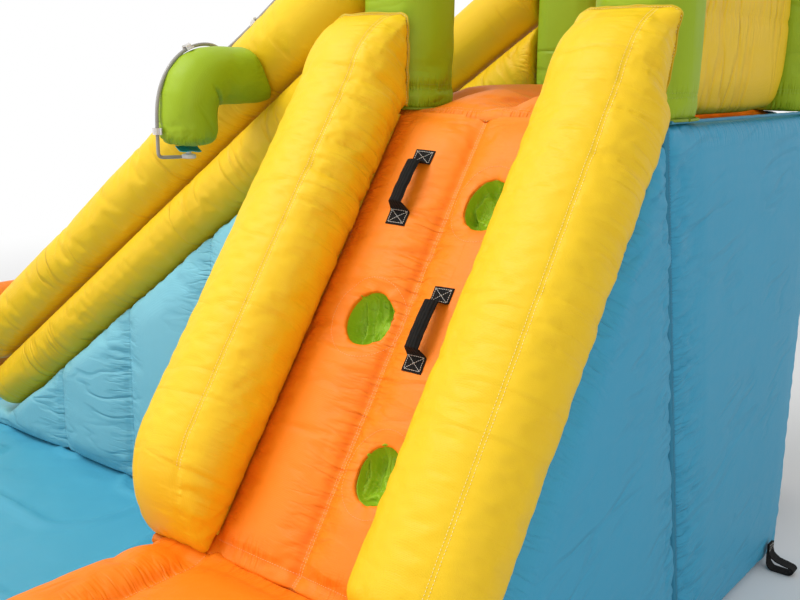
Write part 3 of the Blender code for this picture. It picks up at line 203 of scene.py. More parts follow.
class Wire:  # one output of a material's node tree
    def __init__(self, tree, socket):
        self.tree, self.socket = tree, socket

    def node(self, kind, settings=None, inputs=None, out=0):
        made = self.tree.nodes.new("ShaderNode" + kind)
        for key, value in (settings or {}).items():
            setattr(made, key, value)
        for key, value in (inputs or {}).items():
            if isinstance(value, Wire):
                self.tree.links.new(value.socket, made.inputs[key])
            else:
                made.inputs[key].default_value = value
        return Wire(self.tree, made.outputs[out])

    def maths(self, operation, a, b=0.0):
        return self.node("Math", {"operation": operation}, {0: a, 1: b, 2: 0.0})

    def __add__(self, other):
        return self.maths("ADD", self, other)

    def __radd__(self, other):
        return self.maths("ADD", other, self)

    def __sub__(self, other):
        return self.maths("SUBTRACT", self, other)

    def __rsub__(self, other):
        return self.maths("SUBTRACT", other, self)

    def __mul__(self, other):
        return self.maths("MULTIPLY", self, other)

    def __rmul__(self, other):
        return self.maths("MULTIPLY", other, self)

    def ridge(self, sharp):  # 1 at nought, falling to 0 on both sides
        return self.node("MapRange", {"clamp": True}, {0: self, 1: 0.0, 2: 1 / sharp, 3: 1.0, 4: 0.0})

    def sine(self):
        return self.maths("SINE", self)

    def size(self):
        return self.maths("ABSOLUTE", self)

    def above(self, edge, soft):
        return self.node("MapRange", {"clamp": True}, {0: self, 1: edge - soft, 2: edge + soft})

    def noise(self, scale, detail=2.0, rough=0.5):
        inputs = {"Vector": self, "Scale": scale, "Detail": detail, "Roughness": rough}
        return self.node("TexNoise", {}, inputs)

    def towards(self, way):
        return self.node("VectorMath", {"operation": "DOT_PRODUCT"}, {0: self, 1: tuple(way)}, 1)

    def tint(self, first, second):
        return self.node("Mix", {"data_type": "RGBA"}, {0: self, 6: (*first, 1), 7: (*second, 1)}, 2)

    def parts(self):
        made = self.node("SeparateXYZ", {}, {0: self}).socket.node
        return [Wire(self.tree, socket) for socket in made.outputs]

    def bump(self, distance, strength=1.0, under=None):
        inputs = {"Height": self, "Distance": distance, "Strength": strength}
        if under is not None:
            inputs["Normal"] = under
        return self.node("Bump", {}, inputs)


def newLook(name):
    look = bpy.data.materials.new(name)
    look.use_nodes = True
    return look, look.node_tree.nodes["Principled BSDF"], Wire(look.node_tree, None)


def feed(shader, **sockets):
    for name, value in sockets.items():
        socket = shader.inputs[name.replace("_", " ")]
        if isinstance(value, Wire):
            value.tree.links.new(value.socket, socket)
        else:
            socket.default_value = value


def shaded(colour, share):
    return tuple(part * share for part in colour)


clothFinish = {
    "weave": 0.0021,  # metres from thread to thread
    "weaveDepth": 0.00025,
    "roughness": 0.50,
    "gloss": 0.32,
    "mottle": 0.10,
    "gather": 36.0,  # puckers to the metre along a seam
    "gatherSharp": 11.0,
    "gatherDepth": 0.0027,
    "gatherPaintedShade": 0.26,
    "folds": (10.0, 2.6),  # to the metre along a piece and round it
    "foldSharp": 17.0,
    "foldDepth": 0.0050,
    "foldPaintedShade": 0.30,
    "crumple": 0.0011,
}


def fabric(name, colour, deep):
    look, shader, start = newLook(name)
    place = start.node("TexCoord", out=3)
    x, y, z = place.parts()
    turns = 2 * math.pi / clothFinish["weave"]
    weave = (x * turns).sine() + (y * turns).sine() + (z * turns).sine()
    broad = place.noise(2.6, 2)
    fine = place.noise(34, 3, 0.6)

    # Short puckers square to a seam, from the seam's own coordinates; their valleys darken the colour as
    # painted shade
    along, across, near = start.node("Attribute", {"attribute_name": "sewn"}, out=1).parts()
    line = start.node("CombineXYZ", {}, {0: along * clothFinish["gather"], 1: across * 8.0, 2: 0.0})
    pucker = (line.noise(1.0, 2, 0.55) - 0.5).size().ridge(clothFinish["gatherSharp"]) * near
    swell = line.noise(0.8, 1) * near

    # Longer creases round a tube or across a wall, in patches, darkened in their valleys as painted shade
    run, side, much = start.node("Attribute", {"attribute_name": "laid"}, out=1).parts()
    often, seldom = clothFinish["folds"]
    sheet = start.node("CombineXYZ", {}, {0: run * often, 1: side * seldom, 2: 0.0})
    bent = (sheet.noise(1.0, 2, 0.5) - 0.5).size()
    patch = place.noise(4.5, 1).above(0.50, 0.07)
    fold = bent.ridge(clothFinish["foldSharp"]) * much * patch

    # Colour mix: random mottle and fine tone, minus painted shade in the pucker and fold valleys
    shade = 0.5 + (broad - 0.5) * clothFinish["mottle"] * 3
    shade = shade - pucker * clothFinish["gatherPaintedShade"] - fold * clothFinish["foldPaintedShade"] + (fine - 0.5) * 0.2
    feed(
        shader,
        Base_Color=shade.tint(deep, colour),
        Roughness=clothFinish["roughness"] + (fine - 0.5) * 0.16 + weave * 0.012,
        Specular_IOR_Level=clothFinish["gloss"],
    )
    cloth = weave.bump(clothFinish["weaveDepth"], 0.25)
    cloth = place.noise(13, 3, 0.5).bump(clothFinish["crumple"] * 2, 0.5, cloth)
    cloth = (0 - fold).bump(clothFinish["foldDepth"], 0.9, cloth)
    feed(shader, Normal=(swell * 0.8 - pucker).bump(clothFinish["gatherDepth"], 0.9, cloth))
    return look


# The deeper colour is a darker copy of the lit one: the painted shade in creases mixes towards it, and the
# random mottle mixes either way
tints = {  # lit colour and the deeper one it mixes with
    "yellow": ((0.88, 0.61, 0.011), (0.83, 0.49, 0.005)),
    "orange": ((0.97, 0.28, 0.006), (0.88, 0.19, 0.003)),
    "green": ((0.36, 0.50, 0.008), (0.25, 0.38, 0.004)),
    "blue": ((0.042, 0.355, 0.56), (0.038, 0.30, 0.48)),
    "lightBlue": ((0.25, 0.60, 0.70), (0.17, 0.50, 0.62)),
    "liner": ((0.38, 0.60, 0.02), (0.26, 0.46, 0.01)),
    "pool": ((0.10, 0.46, 0.62), (0.06, 0.36, 0.54)),
}
cloths = {key: fabric(key + "Cloth", *pair) for key, pair in tints.items()}
slotOf = {
    "yellow": "yellow_cloth", "orange": "orange_cloth", "green": "green_cloth", "blue": "blue_cloth",
    "lightBlue": "light_blue_cloth", "liner": "green_cloth", "pool": "blue_cloth",
}

# Air-filled pads: a copy of the solid, remeshed, puffed by a cloth run, then sewn
padList = {  # colour, voxel size, and how far the cloth run may move a point
    "leftBolster": ("yellow", 0.012, 0.004),
    "rightBolster": ("yellow", 0.012, 0.004),
    "climbPanel": ("orange", 0.011, 0.006),
    "deckPad": ("orange", 0.013, 0.006),
    "columnFrontLeft": ("green", 0.012, 0.006),
    "columnFrontRight": ("green", 0.012, 0.006),
    "columnBackLeft": ("green", 0.014, 0.0),
    "columnBackRight": ("green", 0.014, 0.0),
    "slideArch": ("green", 0.014, 0.0),
    "rightGuard": ("yellow", 0.014, 0.0),
    "backGuard": ("yellow", 0.014, 0.0),
    "nearLowerRail": ("yellow", 0.013, 0.006),
    "nearUpperRail": ("yellow", 0.013, 0.006),
    "farLowerRail": ("yellow", 0.016, 0.0),
    "farUpperRail": ("yellow", 0.016, 0.0),
    "slideBed": ("blue", 0.017, 0.0),
    "slideNearWall": ("lightBlue", 0.016, 0.008),
    "slideFarWall": ("lightBlue", 0.02, 0.0),
    "rightSideWall": ("blue", 0.014, 0.006),
    "rightGusset": ("blue", 0.013, 0.006),
    "leftInnerWall": ("blue", 0.022, 0.0),
    "leftGusset": ("blue", 0.02, 0.0),
    "backWall": ("blue", 0.018, 0.0),
    "frontMattress": ("orange", 0.014, 0.008),
    "frontRim": ("orange", 0.02, 0.0),
    "leftRim": ("orange", 0.02, 0.0),
    "backRim": ("orange", 0.02, 0.0),
    "sprayElbow": ("green", 0.0065, 0.004),
}
softRounds = {  # smoothing rounds that take out a tube's flat facets, 2 on the others
    "sprayElbow": 16, "nearLowerRail": 8, "nearUpperRail": 8, "leftBolster": 4, "rightBolster": 4,
    "frontMattress": 1, "slideArch": 5, "frontRim": 4, "leftRim": 4, "backRim": 4,
}
clothRun = {"pressure": 4.0, "frames": 20, "quality": 5, "grow": 0.018, "slack": 0.3}


def copyOf(name):
    piece = bpy.data.objects.new(name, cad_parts[nodeOf(name)].data.copy())
    bpy.context.scene.collection.objects.link(piece)
    piece.data.materials.clear()
    editMesh(piece, remove_doubles={"threshold": 0.00001})
    return piece


def startPad(name, voxel, cap):
    pad = copyOf(name)
    remesh = pad.modifiers.new("Remesh", "REMESH")
    remesh.mode, remesh.voxel_size = "VOXEL", voxel
    pad.modifiers.new("Smooth", "SMOOTH").iterations = softRounds.get(name, 2)
    applyModifiers(pad)
    low, high = (np.array(place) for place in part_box(nodeOf(name)))
    points = corners(pad)
    size = points.max(axis=0) - points.min(axis=0)
    middle = (points.max(axis=0) + points.min(axis=0)) / 2
    moveCorners(pad, (low + high) / 2 + (points - middle) * (high - low) / size)
    moveCorners(pad, corners(pad) - clothRun["slack"] * cap * outward(pad))
    return pad


def puff(jobs):  # each job: the pad, which points are held, and the furthest a point may move
    scene = bpy.context.scene
    rests = []
    for pad, held, cap in jobs:
        group = pad.vertex_groups.new(name="held")
        group.add([int(k) for k in np.nonzero(held(corners(pad)))[0]], 1.0, "REPLACE")
        cloth = pad.modifiers.new("Cloth", "CLOTH")
        cloth.settings.quality = clothRun["quality"]
        cloth.settings.use_pressure = True
        cloth.settings.uniform_pressure_force = clothRun["pressure"]
        cloth.settings.effector_weights.gravity = 0
        cloth.settings.vertex_group_mass = "held"
        cloth.settings.shrink_min = -clothRun["grow"]
        cloth.collision_settings.use_collision = False
        cloth.point_cache.frame_end = clothRun["frames"]
        rests.append(corners(pad))
    for number in range(1, clothRun["frames"] + 1):
        scene.frame_set(number)
    for (pad, held, cap), rest in zip(jobs, rests):
        applyModifiers(pad)
        moved = corners(pad) - rest
        reach = np.linalg.norm(moved, axis=1, keepdims=True)
        moveCorners(pad, rest + moved * np.minimum(1, cap / np.maximum(reach, 1e-9)))
        pad.vertex_groups.clear()
    scene.frame_set(1)


def fineMesh(piece, levels=1):
    surface = piece.modifiers.new("Subdivision", "SUBSURF")
    surface.levels = surface.render_levels = levels
    applyModifiers(piece)


pads = {name: startPad(name, voxel, cap) for name, (tint, voxel, cap) in padList.items()}
print("pads remeshed:", sum(len(pad.data.vertices) for pad in pads.values()), "points")

# Where each pad is sewn down, and so held in its cloth run
pocketSpots = {"Top": (0.10, 0.225), "Middle": (-0.078, 0.511), "Low": (0.10, 0.81)}
pocket = {
    "wide": 0.108, "tall": 0.126, "held": 1.18,
    "lip": 1.5, "lipWidth": 0.4, "turned": 0.13,  # in shares of the pocket's size
    "lipDepth": 0.030, "lipFade": 0.020,
}
pinned = {
    "panel": {"side": 0.232, "groove": 0.007, "back": -0.02, "top": 0.02, "foot": 1.05},
    "bolster": {"foot": 0.014, "end": -0.52, "crest": 0.006, "crestOut": 0.14},
    "column": {"foot": 1.30, "top": 0.03},
    "rail": {"end": 0.05, "seam": 0.02},
    "nearWall": {"seam": 0.01, "back": -0.40, "foot": 0.03},
    "rightWall": {"seam": 0.014, "inside": 0.40, "foot": 0.02, "top": 1.25, "back": 0.475},
    "mattress": {"foot": 0.30, "groove": 0.008, "back": -1.112},
    "elbow": {"end": -0.51, "mouth": 1.185},
    "deck": {"foot": 1.25, "front": -0.475, "seam": 0.006},
}


def pocketReach(points, spot):  # 1 on a pocket's edge
    x, down, out = onPanel(points)
    return np.hypot((x - spot[0]) / (pocket["wide"] / 2), (down - spot[1]) / (pocket["tall"] / 2))


def heldPanel(points):
    at = pinned["panel"]
    x, down, out = onPanel(points)
    held = (np.abs(x) > at["side"]) | (np.abs(x) < at["groove"]) | (out < at["back"])
    held |= (down < at["top"]) | (down > at["foot"])
    for spot in pocketSpots.values():
        held |= pocketReach(points, spot) < pocket["held"]
    return held


def heldBolster(points):
    at = pinned["bolster"]
    x, down, out = onPanel(points)
    middle = np.where(x > 0, bolsterMiddles["rightBolster"], bolsterMiddles["leftBolster"])
    crest = (np.abs(np.abs(x - middle) - crestShift) < at["crest"]) & (out > at["crestOut"])
    return (out < at["foot"]) | (points[:, 1] > at["end"]) | crest


def heldColumn(points):
    x, y, z = points.T
    return (z < pinned["column"]["foot"]) | (z > z.max() - pinned["column"]["top"])


def heldRail(points):
    away = (points - np.array(slideTop)) @ np.array(slideDown)
    out = (points - np.array(slideTop)) @ np.array(slideOut)
    return (away < pinned["rail"]["end"]) | (np.abs(out - railSeam) < pinned["rail"]["seam"])


def heldNearWall(points):
    at = pinned["nearWall"]
    x, y, z = points.T
    seams = np.min([np.abs(x - seam) for seam in wallSeams], axis=0) < at["seam"]
    return seams | (y > at["back"]) | (z < at["foot"])


def heldRightWall(points):
    at = pinned["rightWall"]
    x, y, z = points.T
    seam = np.abs(y - leanPlace(z)) < at["seam"]
    return seam | (x < at["inside"]) | (z < at["foot"]) | (z > at["top"]) | (y > at["back"])


def heldMattress(points):
    at = pinned["mattress"]
    x, y, z = points.T
    return (z < at["foot"]) | (np.abs(np.abs(x) - mattressGroove) < at["groove"]) | (y > at["back"])


def heldElbow(points):
    x, y, z = points.T
    return (y > pinned["elbow"]["end"]) | (z < pinned["elbow"]["mouth"])


def heldDeck(points):
    at = pinned["deck"]
    x, y, z = points.T
    return (z < at["foot"]) | (y < at["front"]) | (np.abs(x) < at["seam"])


holds = {
    "leftBolster": heldBolster, "rightBolster": heldBolster, "climbPanel": heldPanel,
    "deckPad": heldDeck, "columnFrontLeft": heldColumn, "columnFrontRight": heldColumn,
    "nearLowerRail": heldRail, "nearUpperRail": heldRail, "slideNearWall": heldNearWall,
    "rightSideWall": heldRightWall, "rightGusset": heldRightWall, "frontMattress": heldMattress,
    "sprayElbow": heldElbow,
}
puff([(pads[name], holds[name], padList[name][2]) for name in holds])
print("cloth run done")
for pad in pads.values():
    fineMesh(pad)
print("pads subdivided:", sum(len(pad.data.vertices) for pad in pads.values()), "points")


def plump(name, weigh, way):  # moves the points that a weight picks
    points = corners(pads[name])
    moveCorners(pads[name], points + weigh(points)[:, None] * np.array(way))


def turnIn(pad, spot):  # draws the cloth round a foot pocket in over its edge
    points = corners(pad)
    x, down, out = onPanel(points)
    reach = pocketReach(points, spot)
    top = out[reach < pocket["lip"]].max()
    lip = np.clip((out - top + pocket["lipDepth"]) / pocket["lipFade"], 0, 1)
    x, down = x - spot[0], down - spot[1]
    near = np.clip((pocket["lip"] - reach) / pocket["lipWidth"], 0, 1)
    share = pocket["turned"] * lip * near / np.maximum(reach, 0.5)
    points = points - (share * x)[:, None] * np.array(toX)
    moveCorners(pad, points - (share * down)[:, None] * np.array(panelDown))


def pull(name, spot, reach, way):  # draws the points near one spot out into a soft corner
    def weigh(points):
        return np.clip(1 - np.linalg.norm(points - np.array(spot), axis=1) / reach, 0, 1) ** 1.5
    plump(name, weigh, way)


plumped = {  # where each starts to swell, and over what it grows
    "mattress": {"y": -1.145, "overY": 0.03, "z": 0.33, "overZ": 0.05},
    "panel": {"down": 1.045, "overDown": 0.025, "overOut": 0.02},
    "deck": {"half": 0.035, "z": 1.26},
}


def mattressHead(points):
    at = plumped["mattress"]
    x, y, z = points.T
    return np.clip((y - at["y"]) / at["overY"], 0, 1) * np.clip((z - at["z"]) / at["overZ"], 0, 1)


def panelFoot(points):
    at = plumped["panel"]
    x, down, out = onPanel(points)
    return np.clip((down - at["down"]) / at["overDown"], 0, 1) * np.clip(out / at["overOut"] + 1, 0, 1)


def deckRidge(points):
    x, y, z = points.T
    return np.exp(-((x / plumped["deck"]["half"]) ** 2)) * (z > plumped["deck"]["z"])


plump("frontMattress", mattressHead, (0, 0.006, 0.012))
plump("climbPanel", panelFoot, 0.007 * panelOut + 0.004 * panelDown)
plump("deckPad", deckRidge, (0, 0, 0.012))
for spot in pocketSpots.values():
    turnIn(pads["climbPanel"], spot)
panelCorner = panelTop - panelSide * toX + 1.070 * panelDown
softCorners = [  # pad, spot, how far the pull reaches, and the pull
    ("frontMattress", (-panelSide, -1.112, 0.385), 0.070, (0, 0.012, 0.010)),
    ("climbPanel", panelCorner, 0.070, 0.012 * panelDown),
    ("sprayElbow", (-0.765, -0.668, 1.322), 0.09, (0, -0.009, 0.009)),
    ("sprayElbow", (-0.700, -0.510, 1.385), 0.07, (0.012, -0.004, 0.010)),
    ("sprayElbow", (-0.665, -0.515, 1.265), 0.07, (-0.016, 0, 0.012)),
]
for name, middle in bolsterMiddles.items():
    for side in (-1, 1):
        softCorners.append((name, (middle + side * 0.098, -0.497, 1.468), 0.042, (side * 0.010, 0, 0.009)))
for corner in softCorners:
    pull(*corner)

# Seams, with the puckers that stand square to them
grainMix = {"ways": (12.9898, 78.233, 37.719), "large": 43758.5453}
seamStyle = {  # metres, and a seam sets what differs
    "depth": 0.0, "width": 0.010,  # of the sunk line
    "pucker": 0.002,  # height
    "reach": 0.05,  # how far from the line
    "pitch": 0.03,  # from one to the next
    "calm": 0.005,  # how near the line they fade
}
puckering = {
    "patches": 5.5, "mean": 0.6, "swing": 0.9,  # they come and go in patches, this many to the metre
    "facing": 0.15, "turning": 0.25,  # where a seam on one side of a pad starts, and over what it grows
    "soft": 0.6, "softLong": 1.6,  # share of the ripples, and their length in reaches
    "sharp": 0.3, "sharpLong": 1.4, "sharpPitch": 0.8,  # width of the valleys, their length and spacing
    "fade": 1.5, "power": 1.3,  # reaches to where they end, and how fast they sink to it
    "calmed": 0.8,
}


def grain(points, seed=0.0):  # smooth noise from -1 to 1, the same each run
    base = np.floor(points)
    part = points - base
    part = part * part * (3 - 2 * part)
    total = np.zeros(len(points))
    for corner in itertools.product((0, 1), repeat=3):
        corner = np.array(corner)
        value = np.sin((base + corner) @ grainMix["ways"] + seed) * grainMix["large"]
        total += (value - np.floor(value)) * np.prod(np.where(corner, part, 1 - part), axis=1)
    return total * 2 - 1


def pointVectors(piece, name, vectors):
    attribute = piece.data.attributes.new(name, "FLOAT_VECTOR", "POINT")
    attribute.data.foreach_set("vector", vectors.ravel())


def seamAt(at, across, along, **more):  # at: a point of the seam, or its place along an axis
    if isinstance(at, (int, float)):
        at = at * np.array(across)
    return {**seamStyle, "at": np.array(at), "across": np.array(across), "along": np.array(along), **more}


def sew(name, seams, seed, even=0.0):  # sinks each seam's line and puckers the cloth beside it
    pad = pads[name]
    points, normals = corners(pad), outward(pad)
    best, second, push = np.zeros((3, len(points)))
    sewn = np.zeros((len(points), 3))
    patch = puckering["mean"] + puckering["swing"] * grain(points * puckering["patches"], seed + 40)
    patch = np.clip(patch, 0, 1)
    here = np.clip(patch + even, 0, 1)
    for number, seam in enumerate(seams):
        away = (points - seam["at"]) @ seam["across"]
        run = points @ seam["along"]
        mask = np.ones(len(points))
        if "facing" in seam:
            facing = normals @ np.array(seam["facing"])
            mask = np.clip((facing - puckering["facing"]) / puckering["turning"], 0, 1)
        if "only" in seam:
            mask = mask * seam["only"](points)
        pitch, reach = seam["pitch"], seam["reach"]
        soft, sharp = reach * puckering["softLong"], reach * puckering["sharpLong"]
        ripple = grain(columns(run / pitch, away / soft, run * 0), seed + number)
        valley = columns(run / pitch * puckering["sharpPitch"], away / sharp, run * 0)
        valley = grain(valley, seed + 7 + number)
        valley = np.clip(1 - np.abs(valley) / puckering["sharp"], 0, 1) ** 1.5
        ripple = puckering["soft"] * ripple - valley
        close = np.clip(1 - np.abs(away) / (puckering["fade"] * reach), 0, 1) * mask
        line = 1 - puckering["calmed"] * np.exp(-((away / seam["calm"]) ** 2))
        push += seam["pucker"] * ripple * close ** puckering["power"] * line * here
        push -= mask * seam["depth"] * np.exp(-((away / seam["width"]) ** 2))
        better = close > best
        second = np.where(better, best, np.maximum(second, close))
        best = np.where(better, close, best)
        sewn[better, 0], sewn[better, 1] = run[better], away[better]
    sewn[:, 2] = np.clip(best - 1.3 * second, 0, 1) * (0.25 + 0.75 * here)
    moveCorners(pad, points + normals * push[:, None])
    pointVectors(pad, "sewn", sewn)


def crease(name, along, around, seed, size=(0.05, 0.2), depth=0.003, bar=0.4, much=1.0):
    pad = pads[name]
    points, normals = corners(pad), outward(pad)
    a, b = points @ np.array(along), points @ np.array(around)
    field = grain(columns(a / size[0] + b * 2.0, b / size[1], points[:, 1] / size[1]), seed)
    dip = np.clip((field - bar) / (1 - bar), 0, 1) ** 1.3
    moveCorners(pad, points - normals * (depth * dip)[:, None])
    pointVectors(pad, "laid", columns(a, b + seed, np.full(len(a), much)))


def rippled(middle, keep):  # most on the +X side of a crest seam, and towards the column
    def weigh(points):
        x, down, out = onPanel(points)
        return np.clip((x - middle - 0.050) / 0.020, 0.4, 1) * np.clip(1.7 - down / 0.5, keep, 1)
    return weigh


for name, keep in (("leftBolster", 0.75), ("rightBolster", 0.35)):
    middle = bolsterMiddles[name]
    inner = middle - math.copysign(0.092, middle)
    beside = rippled(middle, keep)
    sew(name, [
        seamAt(middle + crestShift, toX, panelDown, facing=(panelOut + toX).normalized(), depth=0.0035,
               width=0.006, pucker=0.0036, reach=0.055, pitch=0.026, only=beside),
        seamAt(middle + 0.105, toX, panelDown, facing=toX, calm=0.0005, pucker=0.0055, reach=0.090,
               only=beside),
        seamAt(inner, toX, panelDown, pucker=0.0012, reach=0.035, only=lambda p: onPanel(p)[2] < 0.06),
        seamAt(-0.49, toY, toZ, pucker=0.0034),
    ], seed=2.0 + middle, even=0.25)
    crease(name, panelDown, toX + panelOut, size=(0.06, 0.22), depth=0.0018, bar=0.5, seed=middle, much=0.35)

sew("climbPanel", [
    seamAt(0, toX, panelDown, facing=panelOut, depth=0.007, width=0.012, pucker=0.0036, reach=0.065,
           pitch=0.028),
    seamAt(panelSide, toX, panelDown, facing=panelOut, pucker=0.0016, reach=0.03),
    seamAt(-panelSide, toX, panelDown, facing=panelOut, pucker=0.0016, reach=0.03),
    seamAt(panelTop + panelFootSeam * panelDown, panelDown, toX, facing=panelOut, depth=0.003,
           pucker=0.0014, reach=0.03),
], seed=4.0)
crease("climbPanel", panelDown, toX, size=(0.12, 0.2), depth=0.002, bar=0.3, seed=2.0, much=0.5)
sew("deckPad", [
    seamAt(-0.484, toY, toX, facing=toZ, depth=0.001, pucker=0.0004, reach=0.03),
    seamAt(0, toX, toY, facing=toZ, depth=0.002, width=0.008, pucker=0.0008, reach=0.035),
], seed=5.0)
for name in ("columnFrontLeft", "columnFrontRight", "columnBackLeft", "columnBackRight"):
    sew(name, [
        seamAt(1.275, toZ, toX + toY, pucker=0.0012, reach=0.03),
        seamAt(1.322, toZ, toX + toY, depth=0.001, width=0.004, pucker=0.0006, reach=0.02),
        seamAt(1.868, toZ, toX + toY, depth=0.0015, width=0.006, pucker=0.0014, reach=0.03),
    ], seed=6.0 + len(name))
    crease(name, toZ, toX + toY, size=(0.05, 0.16), depth=0.002, bar=0.5, seed=len(name), much=0.5)
sew("slideArch", [seamAt(1.872, toZ, toX + toY, depth=0.001, pucker=0.0016, reach=0.03)], seed=1.0)
crease("slideArch", toY, toX + toZ, seed=5.0)
for name in ("rightGuard", "backGuard"):
    sew(name, [seamAt(1.49, toZ, toX + toY, depth=0.003)], seed=8.0)
    crease(name, toX + toY, toZ, size=(0.07, 0.2), seed=5.0)
for name in ("nearLowerRail", "nearUpperRail", "farLowerRail", "farUpperRail"):
    sew(name, [
        seamAt(slideTop + railSeam * slideOut, slideOut, slideDown, depth=0.002, pucker=0.0018, reach=0.035),
        seamAt(-0.405, toX, toY + toZ, pucker=0.003, reach=0.04),
    ], seed=9.0 + len(name))
    crease(name, slideDown, toY + slideOut, size=(0.05, 0.16), depth=0.0035, bar=0.42, seed=len(name))
for name in ("slideNearWall", "slideFarWall"):
    sew(name, [
        seamAt(x, toX, toZ, depth=0.006, width=0.014, pucker=0.0052, reach=0.075) for x in wallSeams
    ], seed=11.0)
    crease(name, toZ, toX, size=(0.10, 0.24), bar=0.3, seed=1.0, much=0.7)
for name in ("rightSideWall", "rightGusset", "leftInnerWall", "leftGusset"):
    sew(name, [
        seamAt((0, lean["foot"], 0), leanAcross, leanAlong, depth=0.005, width=0.014, pucker=0.0120,
               reach=0.095, pitch=0.022, calm=0.030),
        seamAt(1.262, toZ, toY, depth=0.003, pucker=0.0016, reach=0.035),
        seamAt(0.01, toZ, toY, depth=0.003, pucker=0.0016, reach=0.035),
        seamAt(0.485, toY, toZ, depth=0.003, pucker=0.0022, reach=0.045),
        seamAt(panelTop, panelOut, panelDown, pucker=0.0040, reach=0.07, pitch=0.034),
    ], seed=12.0, even=0.5)
    crease(name, leanAlong, toY, size=(0.07, 0.3), depth=0.0022, bar=0.45, seed=4.0, much=0.6)
sew("backWall", [
    seamAt(side * 0.31, toX, toZ, depth=0.003, pucker=0.0024) for side in (-1, 1)
] + [seamAt(z, toZ, toX, depth=0.003, pucker=0.0018, reach=0.035) for z in (0.008, 1.262)], seed=13.0)
crease("backWall", toZ, toX, size=(0.07, 0.3), depth=0.0022, bar=0.45, seed=7.0, much=0.6)
sew("frontMattress", [
    seamAt(side * mattressGroove, toX, toY, facing=toZ, depth=0.007, width=0.014, pucker=0.0026)
    for side in (-1, 1)
] + [seamAt(-1.104, toY, toX, facing=toZ, pucker=0.004)], seed=14.0)
crease("frontMattress", toX, toY, size=(0.06, 0.16), seed=6.0, much=0.7)
for name in ("frontRim", "leftRim", "backRim"):
    along = toY if name == "leftRim" else toX
    sew(name, [
        seamAt(0.1925, toZ, along, depth=0.002, pucker=0.003, reach=0.045, pitch=0.034),
        seamAt(0.29, toZ, along, pucker=0.0012, reach=0.06, pitch=0.05),
    ], seed=15.0)
    crease(name, along, toZ, size=(0.06, 0.16), bar=0.5, seed=len(name))
sew("slideBed", [
    seamAt(y, toY, slideDown, facing=slideOut, depth=0.004, width=0.012, pucker=0.0026)
    for y in (-0.101, 0.101)
], seed=16.0)

# The spray arm: gathered at its mouth, puckered outside its bend, folded inside it
elbowBend = {"x": -0.765, "y": -0.593, "z": 1.247, "radius": 0.09, "outer": -0.63}
bendMiddle = Vector((elbowBend["x"], elbowBend["y"], elbowBend["z"]))
bendMiddle += elbowBend["radius"] * Vector((0, -1, 1)).normalized()


def innerBend(points):
    inward = (points - np.array(bendMiddle)) @ np.array(Vector((0, 1, -1)).normalized())
    return np.clip((inward + 0.012) / 0.03, 0, 1)


def outerBend(points):
    return np.clip((points[:, 1] - elbowBend["outer"]) / -0.03, 0, 1) * (points[:, 2] > 1.2)


sew("sprayElbow", [
    seamAt(1.172, toZ, toX + toY, pucker=0.0055, reach=0.026, pitch=0.019),
    seamAt(bendMiddle, (toY + toZ).normalized(), toX, depth=0.009, width=0.0045, pucker=0.0, only=innerBend),
    seamAt(elbowBend["x"] - 0.03, toX, toZ - toY, pucker=0.0014, reach=0.03, pitch=0.014, only=outerBend),
    seamAt(-0.50, toY, toX + toZ, pucker=0.0018, reach=0.03, pitch=0.02),
], seed=17.0)
for name, pad in pads.items():
    tint = padList[name][0]
    dress(pad, cloths[tint], slotOf[tint])
print("pads sewn")


# Stitches, piping and webbing
plainFinish = {"wear": 7.2, "grain": 360.0}  # spots to the metre


def plainLook(name, colour, deep, roughness=0.5, metallic=0.0, alpha=1.0, depth=0.0004):
    look, shader, start = newLook(name)
    place = start.node("TexCoord", out=3)
    wear = place.noise(plainFinish["wear"], 3, 0.6)
    fine = place.noise(plainFinish["grain"], 2)
    feed(
        shader,
        Base_Color=wear.above(0.5, 0.3).tint(deep, colour),
        Roughness=roughness + (wear - 0.5) * 0.25,
        Metallic=metallic,
        Alpha=alpha,
        Normal=(fine + wear * 2).bump(depth, 0.5),
    )
    return look


webbingFinish = {
    "rib": 0.0034, "pick": 0.0026, "cord": 0.0068,  # metres from one to the next
    "lit": (0.014, 0.013, 0.012), "deep": (0.003, 0.003, 0.003),
}


def webbingLook(name, across, along):  # woven ribs that run along the strap
    look, shader, start = newLook(name)
    place = start.node("TexCoord", out=3)
    rib, run = place.towards(across), place.towards(along)
    turns = {key: 2 * math.pi / webbingFinish[key] for key in ("rib", "pick", "cord")}
    weave = (rib * turns["rib"]).sine() * (run * turns["pick"]).sine()
    cord = (rib * turns["cord"]).sine()
    wear = place.noise(40, 3, 0.6)
    feed(
        shader,
        Base_Color=(weave * 0.3 + wear).above(0.55, 0.35).tint(webbingFinish["deep"], webbingFinish["lit"]),
        Roughness=0.85 + (wear - 0.5) * 0.2,
        Specular_IOR_Level=0.2,
        Normal=(weave * 0.6 + cord).bump(0.0007, 0.8),
    )
    return look


blueThread = plainLook("blueThread", (0.05, 0.24, 0.40), (0.03, 0.17, 0.30), 0.7)
blackPlastic = plainLook("blackPlastic", (0.02, 0.02, 0.02), (0.012, 0.012, 0.012), 0.5)
threads = {  # look and slot
    "white": (plainLook("whiteThread", (0.86, 0.84, 0.78), (0.70, 0.66, 0.58), 0.7), "white_cloth"),
    "yellow": (plainLook("yellowThread", (1.0, 0.90, 0.52), (0.94, 0.76, 0.32), 0.7), "yellow_cloth"),
    "orange": (plainLook("orangeThread", (1.0, 0.62, 0.30), (0.92, 0.42, 0.14), 0.7), "orange_cloth"),
    "green": (plainLook("greenThread", (0.45, 0.60, 0.12), (0.30, 0.42, 0.06), 0.7), "green_cloth"),
    "blue": (blueThread, "blue_cloth"),
    "lightBlue": (blueThread, "light_blue_cloth"),
    "teeth": (blackPlastic, "black_plastic"),
}
